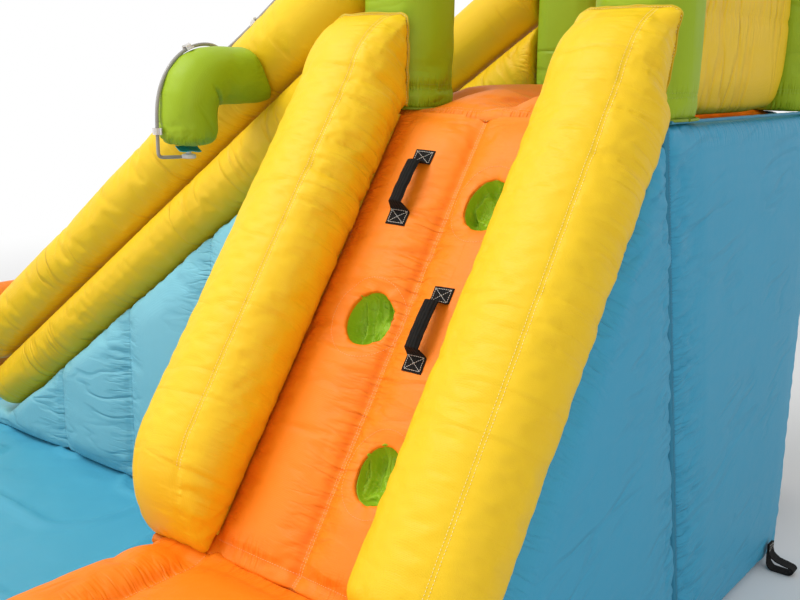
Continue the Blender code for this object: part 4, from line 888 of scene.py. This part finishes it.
# Cords, piping and flaps take a darker share of their cloth's colour, as painted shade for cloth that sits in
# seams and grooves
edgeShadeShare = {"yellow": 0.8, "orange": 0.85, "green": 0.7, "blue": 0.75}  # of the cloth's colour
edgings = {
    key: fabric(key + "Edging", shaded(tints[key][0], share), shaded(tints[key][0], share * 0.7))
    for key, share in edgeShadeShare.items()
}
stitch = {
    "pitch": 0.0062, "fine": 0.0046,  # from stitch to stitch, on pads and on webbing
    "long": 0.0042, "thick": 0.0011, "lift": 0.0004,
    "apart": 0.0035,  # half of the way between doubled rows
}
skins = {}


def lineCurve(name, points, thick=0.0):
    curve = bpy.data.curves.new(name, "CURVE")
    curve.dimensions = "3D"
    curve.bevel_depth = thick
    curve.bevel_resolution = 2
    curve.use_fill_caps = True
    spline = curve.splines.new("POLY")
    spline.points.add(len(points) - 1)
    for place, point in zip(spline.points, points):
        place.co = (*point, 1)
    made = bpy.data.objects.new(name, curve)
    bpy.context.scene.collection.objects.link(made)
    return made


def skinOf(piece):
    if piece.name not in skins:
        skins[piece.name] = BVHTree.FromObject(piece, bpy.context.evaluated_depsgraph_get())
    return skins[piece.name]


def laidOn(target, points, out, lift=0.0):  # the points dropped on a piece along -out
    hits = [skinOf(target).ray_cast(Vector(point) + 0.12 * out, -out, 0.3) for point in points]
    return [hit[0] + hit[1] * lift for hit in hits if hit[0] is not None]


def onSkin(target, points, lift=stitch["lift"]):  # the same, by the nearest place on the piece
    hits = [skinOf(target).find_nearest(Vector(point), 0.1) for point in points]
    return [hit[0] + hit[1] * lift for hit in hits if hit[0] is not None]


def evenly(points, spacing):
    points = [Vector(point) for point in points]
    made, left = [points[0]], spacing
    for first, second in zip(points, points[1:]):
        span = (second - first).length
        while span >= left:
            first = first.lerp(second, left / span)
            span -= left
            left = spacing
            made.append(first)
        left -= span
    return made


def stitchRun(name, points, thread, pitch=stitch["pitch"]):  # one stitch, repeated along the points
    route = lineCurve(name + "Line", evenly(points, pitch / 2))
    bpy.ops.mesh.primitive_uv_sphere_add(segments=6, ring_count=4, radius=1)
    run = bpy.context.object
    run.name = name
    run.scale = (stitch["long"] / 2, stitch["thick"] / 2, stitch["thick"] / 2)
    settle(run)
    row = run.modifiers.new("Row", "ARRAY")
    row.fit_type, row.curve = "FIT_CURVE", route
    row.use_relative_offset, row.use_constant_offset = False, True
    row.constant_offset_displace = (pitch, 0, 0)
    run.modifiers.new("Bend", "CURVE").object = route
    applyModifiers(run)
    bpy.data.objects.remove(route)
    dress(run, *threads[thread], stands=False)


def sewDown(name, target, points, out, thread, lift=stitch["lift"]):
    stitchRun(name, laidOn(target, points, out, lift), thread)


def edging(name, points, tint, thick):  # a cord along the points
    strip = lineCurve(name, evenly(points, 0.012), thick)
    pick(strip)
    bpy.ops.object.convert(target="MESH")
    strip = bpy.context.object
    cover = corners(strip)
    moveCorners(strip, cover + 0.0006 * grain(cover * 70, 2.0)[:, None])
    dress(strip, edgings[tint], slotOf[tint], stands=False)


# Climbing panel and deck: centre, foot and edge seams
panel, deck = pads["climbPanel"], pads["deckPad"]
deckSeams = {"level": 1.27, "edges": (-0.474, -0.468), "across": (-0.19, 0.22), "along": (-0.478, 0.38)}
for k, shift in enumerate((-stitch["apart"], stitch["apart"])):
    line = [panelPoint(shift, down) for down in spread(0.01, 1.06, 200)]
    sewDown(f"panelCentreStitch{k + 1}", panel, line, panelOut, "orange")
line = [panelPoint(x, panelFootSeam) for x in spread(-0.225, 0.225, 90)]
sewDown("panelFootStitch", panel, line, panelOut, "orange")
for k, y in enumerate(deckSeams["edges"]):
    line = [Vector((x, y, deckSeams["level"])) for x in spread(*deckSeams["across"], 80)]
    sewDown(f"deckEdgeStitch{k + 1}", deck, line, toZ, "orange")
line = [Vector((0, y, deckSeams["level"])) for y in spread(*deckSeams["along"], 150)]
sewDown("deckCentreStitch", deck, line, toZ, "orange")

# Foot pockets: wrinkled green cups that the air presses inwards, with a gathered rim
cup = {
    "wide": 0.104, "tall": 0.122, "deep": 0.050, "cloth": 0.0014, "under": 0.007,
    "rim": (0.124, 0.142), "seam": (0.165, 0.178),
    "wall": 2.4, "floor": 2.2,  # powers that make the wall steep and the floor flat
    "pleat": 0.014, "pleats": (5.5, 1.6, 2.6),  # depth, then how often across and down, and their sway
    "bulge": 0.012, "bulges": 2.3,
    "crumple": 0.004, "crumples": (9, 5, 1), "crumpleWidth": 0.35,
}


def ring(spot, size, count=96):
    points = []
    for turn in spread(0, 2 * math.pi, count):
        x, down = size[0] / 2 * math.cos(turn), size[1] / 2 * math.sin(turn)
        points.append(panelPoint(spot[0] + x, spot[1] + down))
    return points


def footPocket(word, spot, seed):
    liner, points = gridPiece(f"footPocket{word}", 180, 44)
    turn = (points[:, 0] + 0.5) * 2 * math.pi
    down = np.clip(points[:, 1] + 0.5, 0, 1)  # 0 at the rim, 1 at the middle of the floor
    reach = 1 - down ** cup["wall"]
    flat = columns(np.cos(turn) * reach, np.sin(turn) * reach, reach * 0)
    sway = grain(flat * 1.5, seed)
    across, along, swaying = cup["pleats"]
    pleat = 1 - np.abs(np.sin(across * flat[:, 0] + along * flat[:, 1] + swaying * sway)) ** 0.7
    held = np.minimum(1, down * 7) * (1 - down ** 8)
    depth = cup["deep"] * (1 - (1 - down) ** cup["floor"])
    crumple = 1 - np.abs(grain(flat * cup["crumples"], seed + 2)) / cup["crumpleWidth"]
    depth -= (cup["pleat"] * pleat + cup["bulge"] * grain(flat * cup["bulges"], seed + 1)) * held
    depth -= cup["crumple"] * np.clip(crumple, 0, 1) * held
    rim = laidOn(panel, ring(spot, cup["rim"], 48), panelOut)
    levels = [(point - panelTop).dot(panelOut) for point in rim]
    level = np.interp(2 * math.pi - turn, np.linspace(0, 2 * math.pi, len(levels)), levels)
    level = level * (1 - down) + np.mean(levels) * down
    wide, tall = flat[:, 0] * cup["wide"] / 2, flat[:, 1] * cup["tall"] / 2
    moveCorners(liner, columns(wide, tall, level - cup["under"] - depth))
    faceOut(liner, 0.00005, inside=True)
    thicken(liner, cup["cloth"], -1)
    turned = Matrix((toX, panelOut.cross(toX), panelOut)).transposed().to_4x4()
    liner.matrix_world = Matrix.Translation(panelPoint(*spot)) @ turned
    settle(liner)
    dress(liner, cloths["liner"], slotOf["liner"])
    wide, tall = cup["wide"] + 2 * cup["deep"], cup["tall"] + 2 * cup["deep"]


for number, (word, spot) in enumerate(pocketSpots.items()):
    sewDown(f"pocketRing{word}", panel, ring(spot, cup["seam"]), panelOut, "orange")
    footPocket(word, spot, 3.0 + number * 2)
print("foot pockets sewn")

# Webbing handles: flat pads with boxed crosses, the middle folded and standing off
handle = {
    "long": 0.185, "pad": 0.038, "web": 0.050, "cloth": 0.0026, "grip": 0.034, "thick": 0.013, "rise": 0.019,
    "edge": 0.0009, "under": 0.0018, "fuzz": 0.0005, "hem": 0.005, "stitchLift": 0.0003,
    "fold": (-0.007, 0.010),  # where the grip leaves the pad, and how soon it is folded
    "sag": (0.004, 0.008),  # in the middle and at the foot
}
handleSpots = {"Upper": (-0.098, 0.207), "Lower": (0.088, 0.511)}
webbing = webbingLook("blackWebbing", toX, panelDown)


def gripLift(run):  # 0 on the sewn pads, 1 along the grip that stands off between them
    start, length = handle["fold"]
    inside = (np.minimum(run, handle["long"] - run) - handle["pad"] - start) / length
    inside = np.clip(inside, 0, 1)
    return inside * inside * (3 - 2 * inside)


def addHandle(word, spot):
    strap, points = gridPiece(f"handle{word}", 110, 18)
    run = (points[:, 0] + 0.5) * handle["long"]
    side = points[:, 1] * 2
    lift = gripLift(run)
    half = handle["web"] / 2 * (1 - lift) + handle["grip"] / 2 * lift
    x = spot[0] + side * half
    down = spot[1] - handle["long"] / 2 + run
    line = np.linspace(down.min(), down.max(), 60)
    middle = laidOn(panel, [panelPoint(spot[0], value) for value in line], panelOut)
    level = np.interp(down, line, [(point - panelTop).dot(panelOut) for point in middle])
    under = laidOn(panel, [panelPoint(a, b) for a, b in zip(x, down)], panelOut)
    own = np.array([(point - panelTop).dot(panelOut) for point in under])
    fullness = handle["thick"] / 2 * lift * (1 - np.abs(side) ** 3)
    fuzz = handle["fuzz"] * grain(columns(run * 90, side * 3, run * 0), 4.0)
    mid, end = handle["sag"]
    sag = (mid * np.sin(np.pi * run / handle["long"]) + end * run / handle["long"]) * lift
    out = own * (1 - lift) + (level + handle["rise"] + sag) * lift + handle["under"] + fullness + fuzz
    moveCorners(strap, asRows(panelPoint(*place) for place in zip(x, down, out)))
    thicken(strap, handle["cloth"], -1, handle["edge"])
    faceOut(strap)
    dress(strap, webbing, "black_webbing")
    a, b = handle["web"] / 2 - handle["hem"], handle["pad"] / 2 - handle["hem"]
    paths = {
        "Box": [(-a, -b), (a, -b), (a, b), (-a, b), (-a, -b)],
        "Cross": [(-a, -b), (a, b)],
        "CrossBack": [(a, -b), (-a, b)],
    }
    for place, middle in (("Top", handle["pad"] / 2), ("Foot", handle["long"] - handle["pad"] / 2)):
        middle += spot[1] - handle["long"] / 2
        for kind, path in paths.items():
            line = [
                panelPoint(spot[0] + x0 + (x1 - x0) * t, middle + d0 + (d1 - d0) * t)
                for (x0, d0), (x1, d1) in zip(path, path[1:]) for t in spread(0, 1, 12)
            ]
            line = laidOn(strap, line, panelOut, handle["stitchLift"])
            stitchRun(f"handle{word}{place}{kind}", line, "white", stitch["fine"])


for word, spot in handleSpots.items():
    addHandle(word, spot)
print("handles sewn")

# Bolsters: doubled crest seams, the piping beside the panel and the flap at the column
crestPath = [
    (-0.500, 1.470), (-0.553, 1.445), (-0.602, 1.392), (-0.666, 1.313), (-0.746, 1.211), (-0.810, 1.120),
    (-0.927, 0.941), (-1.013, 0.830), (-1.106, 0.684), (-1.143, 0.613), (-1.152, 0.575),
]
rightCrestPath = crestPath[:6] + [(-1.038, 0.798), (-1.123, 0.674), (-1.208, 0.551), (-1.236, 0.511)]
bolster = {
    "half": 0.1157, "tall": 0.213, "square": 5, "foot": 1.272, "end": -0.4935,
    "crown": 0.49, "base": 0.72, "middle": 0.51, "flat": 0.92, "taper": 0.42,  # shares of that outline
    "sweep": 128,  # degrees that the flap goes round to either side
    "crestLift": 0.0003,
    "flap": 0.008, "flapWave": 0.0015, "cloth": 0.0016,
    "piping": 0.0052, "pipingShift": 0.0935, "pipingOut": 0.013,
}


def bolsterFlap(name, path, outs, seed):  # a flat band of cloth along the end's outline
    strip, points = gridPiece(name, len(path) - 1, 4)
    number = np.rint((points[:, 0] + 0.5) * (len(path) - 1)).astype(int)
    share = points[:, 1] + 0.5
    out = asRows(outs)[number]
    square = np.cross(np.gradient(asRows(path), axis=0)[number], out)
    square /= np.linalg.norm(square, axis=1, keepdims=True)
    ripple = grain(columns(number * 0.35, share, share * 0), seed) * share
    reach = share * bolster["flap"] * (1 + 0.15 * ripple)
    sway = bolster["flapWave"] * ripple
    moveCorners(strip, asRows(path)[number] + out * reach[:, None] + square * sway[:, None])
    thicken(strip, bolster["cloth"], 0)
    dress(strip, edgings["yellow"], slotOf["yellow"], stands=False)


def bolsterEnd(middle):  # the outline of the end that stands against the column
    side = math.copysign(1, middle)
    path, outs = [], []
    for degrees in spread(-bolster["sweep"], bolster["sweep"], 72):
        s, c = math.sin(math.radians(degrees)), math.cos(math.radians(degrees))
        grow = squared(s, c, bolster["square"])
        level = c * grow * (bolster["crown"] if c > 0 else bolster["base"]) + bolster["middle"]
        across = max(-bolster["flat"], min(bolster["flat"], s * grow))
        if across * side > 0:
            across *= 1 - bolster["taper"] * (1 - level) ** 2
        if level > 0.02:
            x, z = middle + bolster["half"] * across, bolster["foot"] + bolster["tall"] * level
            path.append(Vector((x, bolster["end"], z)))
            outs.append(Vector((s, 0, c)))
    return path, outs


for (name, middle), crest in zip(bolsterMiddles.items(), (crestPath, rightCrestPath)):
    for k, shift in enumerate((-stitch["apart"], stitch["apart"])):
        path = [Vector((middle + crestShift + shift, y, z)) for y, z in crest]
        sewDown(f"{name}Crest{k + 1}", pads[name], evenly(path, 0.01), panelOut, "yellow",
                bolster["crestLift"])
    inner = -math.copysign(bolster["pipingShift"], middle)
    foot = [panelPoint(middle + inner, down, bolster["pipingOut"]) for down in spread(0.02, 1.04, 60)]
    edging(f"{name}Piping", foot, "yellow", bolster["piping"])
    path, outs = bolsterEnd(middle)
    path = onSkin(pads[name], path, 0.0)
    bolsterFlap(f"{name}Flap", path, outs, middle)
    line = [point + 0.45 * bolster["flap"] * out - 0.0012 * toY for point, out in zip(path, outs)]
    stitchRun(f"{name}FlapStitch", line, "yellow")
print("bolsters sewn")

# Columns, walls, slide and mattress: their seams' stitches and cords
column = {
    "wide": 0.1025, "deep": 0.0925, "square": 3.6, "waist": 0.975,
    "seams": (1.318, 1.326), "cordLevel": 1.273, "cord": 0.0032,
}
columnSpots = {
    "columnFrontLeft": (-0.292, -0.3975), "columnFrontRight": (0.318, -0.3975),
    "columnBackLeft": (-0.292, 0.3975), "columnBackRight": (0.318, 0.3975),
}
sideWall = {
    "x": 0.4035, "cord": 0.0125, "stitchOut": 0.0124, "apart": 0.003,
    "topX": 0.410, "top": 1.2695, "topCord": 0.0036,
}
mattress = {"y": -1.1025, "level": 0.375, "cord": 0.0140}


def columnRing(x, y, z, count=100):
    points = []
    for turn in spread(0, 2 * math.pi, count):
        c, s = math.cos(turn), math.sin(turn)
        grow = squared(c, s, column["square"]) * column["waist"]
        points.append(Vector((x + column["wide"] * grow * c, y + column["deep"] * grow * s, z)))
    return points


for name, (x, y) in columnSpots.items():
    for k, z in enumerate(column["seams"]):
        stitchRun(f"{name}Stitch{k + 1}", onSkin(pads[name], columnRing(x, y, z)), "green")
    if "Front" in name:
        edging(f"{name}Cord", columnRing(x, y, column["cordLevel"]), "green", column["cord"])
leaning = [Vector((sideWall["x"], leanPlace(z), z)) for z in spread(0.02, 1.262, 200)]
edging("sideWallSeamCord", leaning, "blue", sideWall["cord"])
for k, shift in enumerate((-sideWall["apart"], sideWall["apart"])):
    line = [point + sideWall["stitchOut"] * toX + shift * toY for point in leaning]
    stitchRun(f"sideWallStitch{k + 1}", line, "blue")
line = [Vector((sideWall["topX"], y, sideWall["top"])) for y in spread(-0.47, 0.48, 60)]
edging("sideWallTopCord", line, "blue", sideWall["topCord"])
for k, x in enumerate(wallSeams):
    line = [Vector((x, -0.5, z)) for z in spread(0.03, 1.1, 180)]
    sewDown(f"slideWallStitch{k + 1}", pads["slideNearWall"], line, -toY, "lightBlue")
for k, side in enumerate((-1, 1)):
    line = [Vector((side * mattressGroove, y, 0.4)) for y in spread(-1.115, -1.60, 90)]
    sewDown(f"mattressStitch{k + 1}", pads["frontMattress"], line, toZ, "orange")
line = [Vector((x, mattress["y"], mattress["level"])) for x in spread(-0.40, 0.40, 60)]
edging("mattressCord", line, "orange", mattress["cord"])
print("seams stitched")

# Thin cloth sheets: the pool's floor, the tower's base and the baffle inside it
sheets = {  # level, tint, seed and height of the folds
    "poolFloor": (0.0035, "pool", 3.0, 0.018),
    "towerBase": (0.0025, "blue", 5.0, 0.003),
}
sheetCloth = {"step": 0.016, "thick": 0.0012, "edge": 0.05, "fold": 0.10}


def clothSheet(name, level, tint, seed, waves):
    low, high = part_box(nodeOf(name))
    wide, long = high[0] - low[0], high[1] - low[1]
    sheet, points = gridPiece(name, int(wide / sheetCloth["step"]), int(long / sheetCloth["step"]))
    x, y = low[0] + (points[:, 0] + 0.5) * wide, low[1] + (points[:, 1] + 0.5) * long
    shaped = columns(x, y, points[:, 2])
    rise = grain(shaped * (7, 7, 1) + grain(shaped * 2.2, seed)[:, None], seed)
    rise = rise + 0.5 * grain(shaped * (19, 19, 1), seed + 1)
    fold = np.clip(1 - np.abs(grain(shaped * (4.5, 3.2, 1), seed + 2)) / sheetCloth["fold"], 0, 1)
    edge = np.min([x - low[0], high[0] - x, y - low[1], high[1] - y], axis=0)
    rise = waves * (0.3 + 0.2 * rise + 0.8 * fold) * np.clip(edge / sheetCloth["edge"], 0, 1)
    moveCorners(sheet, columns(x, y, level + rise))
    thicken(sheet, sheetCloth["thick"], -1)
    dress(sheet, cloths[tint], slotOf[tint])


baffle = {"sway": 0.004, "share": 0.965}  # of the solid's size, clear of the walls


def baffleSheet():
    sheet = copyOf("towerBaffle")
    editMesh(sheet, subdivide={"number_cuts": 3})
    points = corners(sheet)
    points[:, 0] += baffle["sway"] * grain(points * (1, 6, 6), 8.0)
    middle = points[:, 1:].mean(axis=0)
    points[:, 1:] = middle + baffle["share"] * (points[:, 1:] - middle)
    moveCorners(sheet, points)
    look = plainLook("baffleCloth", (0.78, 0.78, 0.76), (0.66, 0.66, 0.64), 0.7)
    dress(sheet, look, "white_cloth", smooth=False)


for name, settings in sheets.items():
    clothSheet(name, *settings)
baffleSheet()
print("sheets laid")

# Air inlet sleeve and its strap
sleeve = {
    "x": 0.12, "z": 0.0895, "ends": (0.508, 0.664), "long": 0.156, "neck": 0.632,
    "cloth": 0.0016, "grow": -0.0008, "folds": 0.0032,
    "strap": (0.637, 0.657), "strapCloth": 0.0022, "strapGrow": 0.0072,
    "stations": (  # place along Y, half width, half height and squareness
        (0.508, 0.075, 0.061, 2.2), (0.54, 0.090, 0.067, 2.4), (0.59, 0.099, 0.0775, 4.0),
        (0.63, 0.099, 0.0715, 6.0), (0.66, 0.101, 0.0735, 6.0),
    ),
}


def softTube(name, ends, grown, folds, thick, steps):
    tube, points = gridPiece(name, 120, steps)
    turn = (points[:, 0] + 0.5) * 2 * math.pi
    low, high = ends
    y = low + (points[:, 1] + 0.5) * (high - low)
    places, halfX, halfZ, square = (np.array(row) for row in zip(*sleeve["stations"]))
    power = np.interp(y, places, square)
    c, s = np.cos(turn), np.sin(turn)
    grow = squared(c, s, power)
    gather = np.clip(1 - np.abs(y - sleeve["neck"]) / 0.05, 0, 1)
    gather = gather + np.clip(1 - np.abs(y - sleeve["ends"][0]) / 0.03, 0, 1)
    wave = grain(columns(c * 9, s * 9, y * 12), 3.0) * folds * (0.3 + gather)
    reachX, reachZ = (np.interp(y, places, half) + grown + wave for half in (halfX, halfZ))
    moveCorners(tube, columns(sleeve["x"] + reachX * grow * c, y, sleeve["z"] + reachZ * grow * s))
    faceOut(tube, 0.00005)
    area = sum(face.area for face in tube.data.polygons)
    thicken(tube, thick, -1)
    return tube, area


tube, area = softTube("inletSleeve", sleeve["ends"], sleeve["grow"], sleeve["folds"], sleeve["cloth"], 50)
dress(tube, cloths["blue"], "blue_cloth")
area / sleeve["long"]
strap = softTube("sleeveStrap", sleeve["strap"], sleeve["strapGrow"], 0.0, sleeve["strapCloth"], 6)[0]
dress(strap, webbingLook("strapWebbing", toY, toX + toZ), "black_webbing")

# Webbing loops on the ground, for pegs
loop = {"wide": 0.038, "cloth": 0.0022, "step": 0.002, "rounds": 6, "stitchOut": 0.0074}
loopPath = (  # out from the wall, and up
    (0.0020, 0.076), (0.0020, 0.045), (0.0032, 0.014), (0.0130, 0.0024), (0.040, 0.0020), (0.066, 0.0026),
    (0.0752, 0.0074), (0.0776, 0.015), (0.0710, 0.0222), (0.050, 0.0260), (0.028, 0.0300), (0.012, 0.040),
    (0.0064, 0.052), (0.0060, 0.076),
)
loopBox = [(-0.014, 0.054), (0.014, 0.054), (0.014, 0.072), (-0.014, 0.072), (-0.014, 0.054), (0.014, 0.072)]
loopSpots = {
    "FrontRight": (0.430, -1.0004, 1), "BackRight": (0.430, 0.37, 1),
    "FrontLeft": (-3.051, -1.32, -1), "BackLeft": (-3.051, 0.19, -1),
}
loopWebbing = webbingLook("loopWebbing", toY, toX + toZ)


def softened(path):
    made = evenly([Vector((a, 0, b)) for a, b in path], loop["step"])
    for _ in range(loop["rounds"]):
        made = [made[0]] + [(p + 2 * q + r) / 4 for p, q, r in zip(made, made[1:], made[2:])] + [made[-1]]
    return made


def anchorLoop(word, x, y, side):
    path = softened(loopPath)
    piece, points = gridPiece(f"anchorLoop{word}", len(path) - 1, 12)
    number = np.rint((points[:, 0] + 0.5) * (len(path) - 1)).astype(int)
    line = asRows(path)[number]
    across = points[:, 1]
    fuzz = 0.0004 * grain(columns(number * 0.5, across * 6, across * 0), 2.0)
    moveCorners(piece, columns(x + side * (line[:, 0] + fuzz), y + across * loop["wide"], line[:, 2] + fuzz))
    thicken(piece, loop["cloth"], 0)
    faceOut(piece)
    dress(piece, loopWebbing, "black_webbing")
    line = [Vector((x + side * loop["stitchOut"], y + a, b)) for a, b in loopBox]
    stitchRun(f"anchorLoop{word}Stitch", line, "white", stitch["fine"])


for word, settings in loopSpots.items():
    anchorLoop(word, *settings)
print("webbing sewn")

# Water hose, nozzle with its bracket, and tap connector's nut
glossyDepth = 0.0001  # of the grain on what is nearly clear
clearVinyl = plainLook(
    "clearVinyl", (0.42, 0.40, 0.37), (0.24, 0.23, 0.22), 0.22, alpha=0.85, depth=glossyDepth,
)
milkyPlastic = plainLook(
    "milkyPlastic", (0.78, 0.76, 0.75), (0.62, 0.60, 0.60), 0.35, alpha=0.92, depth=glossyDepth,
)
bluePlastic = plainLook("bluePlastic", (0.03, 0.48, 0.60), (0.02, 0.34, 0.46), 0.35)
nutPlastic = plainLook("nutGreen", (0.10, 0.32, 0.05), (0.06, 0.22, 0.03), 0.4)
nozzle = {
    "middle": (-0.765, -0.683, 1.165), "ribs": 32, "ribDepth": 0.0009,
    "profile": (  # radius and height
        (0.0, -0.012), (0.0065, -0.012), (0.0066, -0.0185), (0.0160, -0.0205), (0.0180, -0.0225),
        (0.0182, -0.0290), (0.0165, -0.0306), (0.0125, -0.0306), (0.0115, -0.0290), (0.0060, -0.0290),
        (0.0050, -0.0315), (0.0, -0.0315),
    ),
}
nut = {
    "middle": (-0.292, 0.514, 0.36), "ribs": 18, "ribDepth": 0.0013,
    "profile": (
        (0.0140, -0.0178), (0.0172, -0.0178), (0.0188, -0.0162), (0.0188, 0.0078), (0.0172, 0.0098),
        (0.0104, 0.0098), (0.0104, 0.0048), (0.0140, 0.0045), (0.0140, -0.0178),
    ),
}
bracket = {
    "middle": (-0.765, -0.683, 1.1568), "half": 0.0118, "long": 0.0345, "slope": -0.0062, "thick": 0.0026,
    "edge": 0.0007,
}


def waterHose():
    hose = copyOf("waterHose")
    editMesh(hose, tris_convert_to_quads={})
    fineMesh(hose, 2)
    points = corners(hose)
    foot = points[:, 2].min()
    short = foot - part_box("water_hose")[0][2]  # the rounding draws the end off its barb
    points[:, 2] -= short * np.clip(1 - (points[:, 2] - foot) / 0.03, 0, 1)
    moveCorners(hose, points)
    dress(hose, clearVinyl, "clear_plastic")


def lathe(name, piece, look, slot):  # a profile turned round its upright axis, ribbed where it is widest
    profile = [Vector((radius, 0, height)) for radius, height in piece["profile"]]
    line = asRows(evenly(profile, 0.0007) + [profile[-1]])
    turned, points = gridPiece(name, 96, len(line) - 1)
    turn = (points[:, 0] + 0.5) * 2 * math.pi
    drawn = line[np.rint((points[:, 1] + 0.5) * (len(line) - 1)).astype(int)]
    widest = drawn[:, 0] > 0.93 * max(radius for radius, height in piece["profile"])
    radius = drawn[:, 0] - np.where(widest, piece["ribDepth"] * (0.5 + 0.5 * np.cos(turn * piece["ribs"])), 0)
    shaped = columns(radius * np.cos(turn), radius * np.sin(turn), drawn[:, 2])
    moveCorners(turned, shaped + np.array(piece["middle"]))
    faceOut(turned, 0.00003)
    dress(turned, look, slot, body=nodeOf(name))


def nozzleBracket():  # a bent clip plate under the arm's mouth
    plate, points = gridPiece("nozzleBracket", 14, 40)
    side, long = points[:, 0] * 2, points[:, 1] * 2
    half = bracket["half"] * (1 - 0.25 * np.abs(long) ** 6)
    rise = bracket["slope"] * side + 0.0010 * np.cos(long * 5) + 0.0014 * side ** 4 - 0.0018 * long
    x, y, z = bracket["middle"]
    moveCorners(plate, columns(x + side * half, y + long * bracket["long"], z + rise))
    thicken(plate, bracket["thick"], 0, bracket["edge"])
    dress(plate, bluePlastic, "blue_plastic")


waterHose()
lathe("sprayNozzle", nozzle, milkyPlastic, "clear_plastic")
lathe("swivelNut", nut, nutPlastic, "green_plastic")
nozzleBracket()
print("sprayer fitted")

# Plain looks for the CAD nodes that stay as they are
greyPlastic = plainLook("greyPlastic", (0.17, 0.18, 0.19), (0.12, 0.13, 0.14), 0.5)
steel = plainLook("zipSteel", (0.62, 0.62, 0.62), (0.5, 0.5, 0.5), 0.3, metallic=1.0)
bareLooks = {
    "hose_clip_elbow": milkyPlastic, "hose_clip_elbow_end": milkyPlastic, "hose_clip_rail": milkyPlastic,
    "hose_clip_wall": milkyPlastic, "valve_body": bluePlastic, "valve_lever": nutPlastic,
    "blower_cover": greyPlastic, "blower_housing": greyPlastic, "blower_impeller": greyPlastic,
    "blower_grille": blackPlastic, "blower_motor": blackPlastic, "blower_switch": blackPlastic,
    "deflation_zip": blackPlastic, "zip_slider": steel,
}
for name, look in bareLooks.items():
    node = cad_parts[name]
    if not node.hide_render:
        node.data.materials.clear()
        node.data.materials.append(look)

# Zip teeth, and the screw heads round the blower's intake side
zipTeeth = {"y": 0.5078, "z": 0.16, "along": (-0.266, -0.054), "pitch": 0.0032}
screws = {
    "x": 0.2056, "y": 0.83, "z": 0.167, "ring": 0.124, "degrees": range(-80, 110, 38), "radius": 0.0042,
    "thick": 0.0016, "edge": 0.0005,
}
line = [Vector((x, zipTeeth["y"], zipTeeth["z"])) for x in spread(*zipTeeth["along"], 100)]
stitchRun("zipTeeth", line, "teeth", zipTeeth["pitch"])


def screwHeads():
    heads = []
    for degrees in screws["degrees"]:
        c, s = math.cos(math.radians(degrees)), math.sin(math.radians(degrees))
        spot = (screws["x"], screws["y"] + screws["ring"] * c, screws["z"] + screws["ring"] * s)
        bpy.ops.mesh.primitive_cylinder_add(
            vertices=24, radius=screws["radius"], depth=screws["thick"],
            location=spot, rotation=(0, math.pi / 2, 0),
        )
        heads.append(bpy.context.object)
        bevelEdges(heads[-1], screws["edge"], 3)
        applyModifiers(heads[-1])
    pick(*heads)
    bpy.ops.object.join()
    joined = bpy.context.object
    joined.name = "blowerScrews"
    settle(joined)
    dress(joined, steel, "zip_steel", stands=False, smooth=False)


screwHeads()

# Floor and light
room = {
    "floor": (0.80, 0.80, 0.80, 1), "roughness": 0.9, "size": 60, "level": -0.001, "world": 0.67,
    "fade": (3.2, 6.5),  # metres from the middle, over which the floor turns white
    "aim": (-0.2, -0.3, 0.7),
    "lamps": (  # name, place, size and power
        ("keyLamp", (-2.6, -3.2, 5.6), 2.8, 225.0),
        ("fillLamp", (4.5, -4.5, 3.0), 4.0, 45.0),
        ("lowLamp", (-3.0, -4.6, 0.7), 3.0, 45.0),
    ),
}


def addFloor():
    bpy.ops.mesh.primitive_plane_add(size=room["size"], location=(0, 0, room["level"]))
    floor = bpy.context.object
    floor.name = "floor"
    look, shader, start = newLook("paleFloor")
    feed(shader, Base_Color=room["floor"], Roughness=room["roughness"])
    spot = start.node("TexCoord", out=3)
    far = spot.node("VectorMath", {"operation": "LENGTH"}, {0: spot}, 1)
    near, end = room["fade"]
    seen = start.node("LightPath", out=0)
    white = far.node("MapRange", {"interpolation_type": "SMOOTHSTEP"}, {0: far, 1: near, 2: end}) * seen
    glow = start.node("Emission", {}, {0: (1, 1, 1, 1), 1: 1.0})
    mixed = start.node("MixShader", {}, {0: white, 1: Wire(look.node_tree, shader.outputs[0]), 2: glow})
    look.node_tree.links.new(mixed.socket, look.node_tree.nodes["Material Output"].inputs[0])
    floor.data.materials.append(look)


def addLight():
    world = bpy.data.worlds.new("studio")
    world.use_nodes = True
    start = Wire(world.node_tree, None)
    seen, glossy = start.node("LightPath", out=0), start.node("LightPath", out=3)
    strength = room["world"] + seen.maths("MAXIMUM", seen, glossy) * (1 - room["world"])
    feed(world.node_tree.nodes["Background"], Color=(1, 1, 1, 1), Strength=strength)
    bpy.context.scene.world = world
    for name, place, size, power in room["lamps"]:
        bpy.ops.object.light_add(type="AREA", location=place)
        lamp = bpy.context.object
        lamp.name = name
        lamp.data.size, lamp.data.energy = size, power
        lamp.rotation_euler = (Vector(room["aim"]) - Vector(place)).to_track_quat("-Z", "Y").to_euler()


addFloor()
addLight()
bpy.context.scene.view_settings.view_transform = "Standard"
print("stage lit")
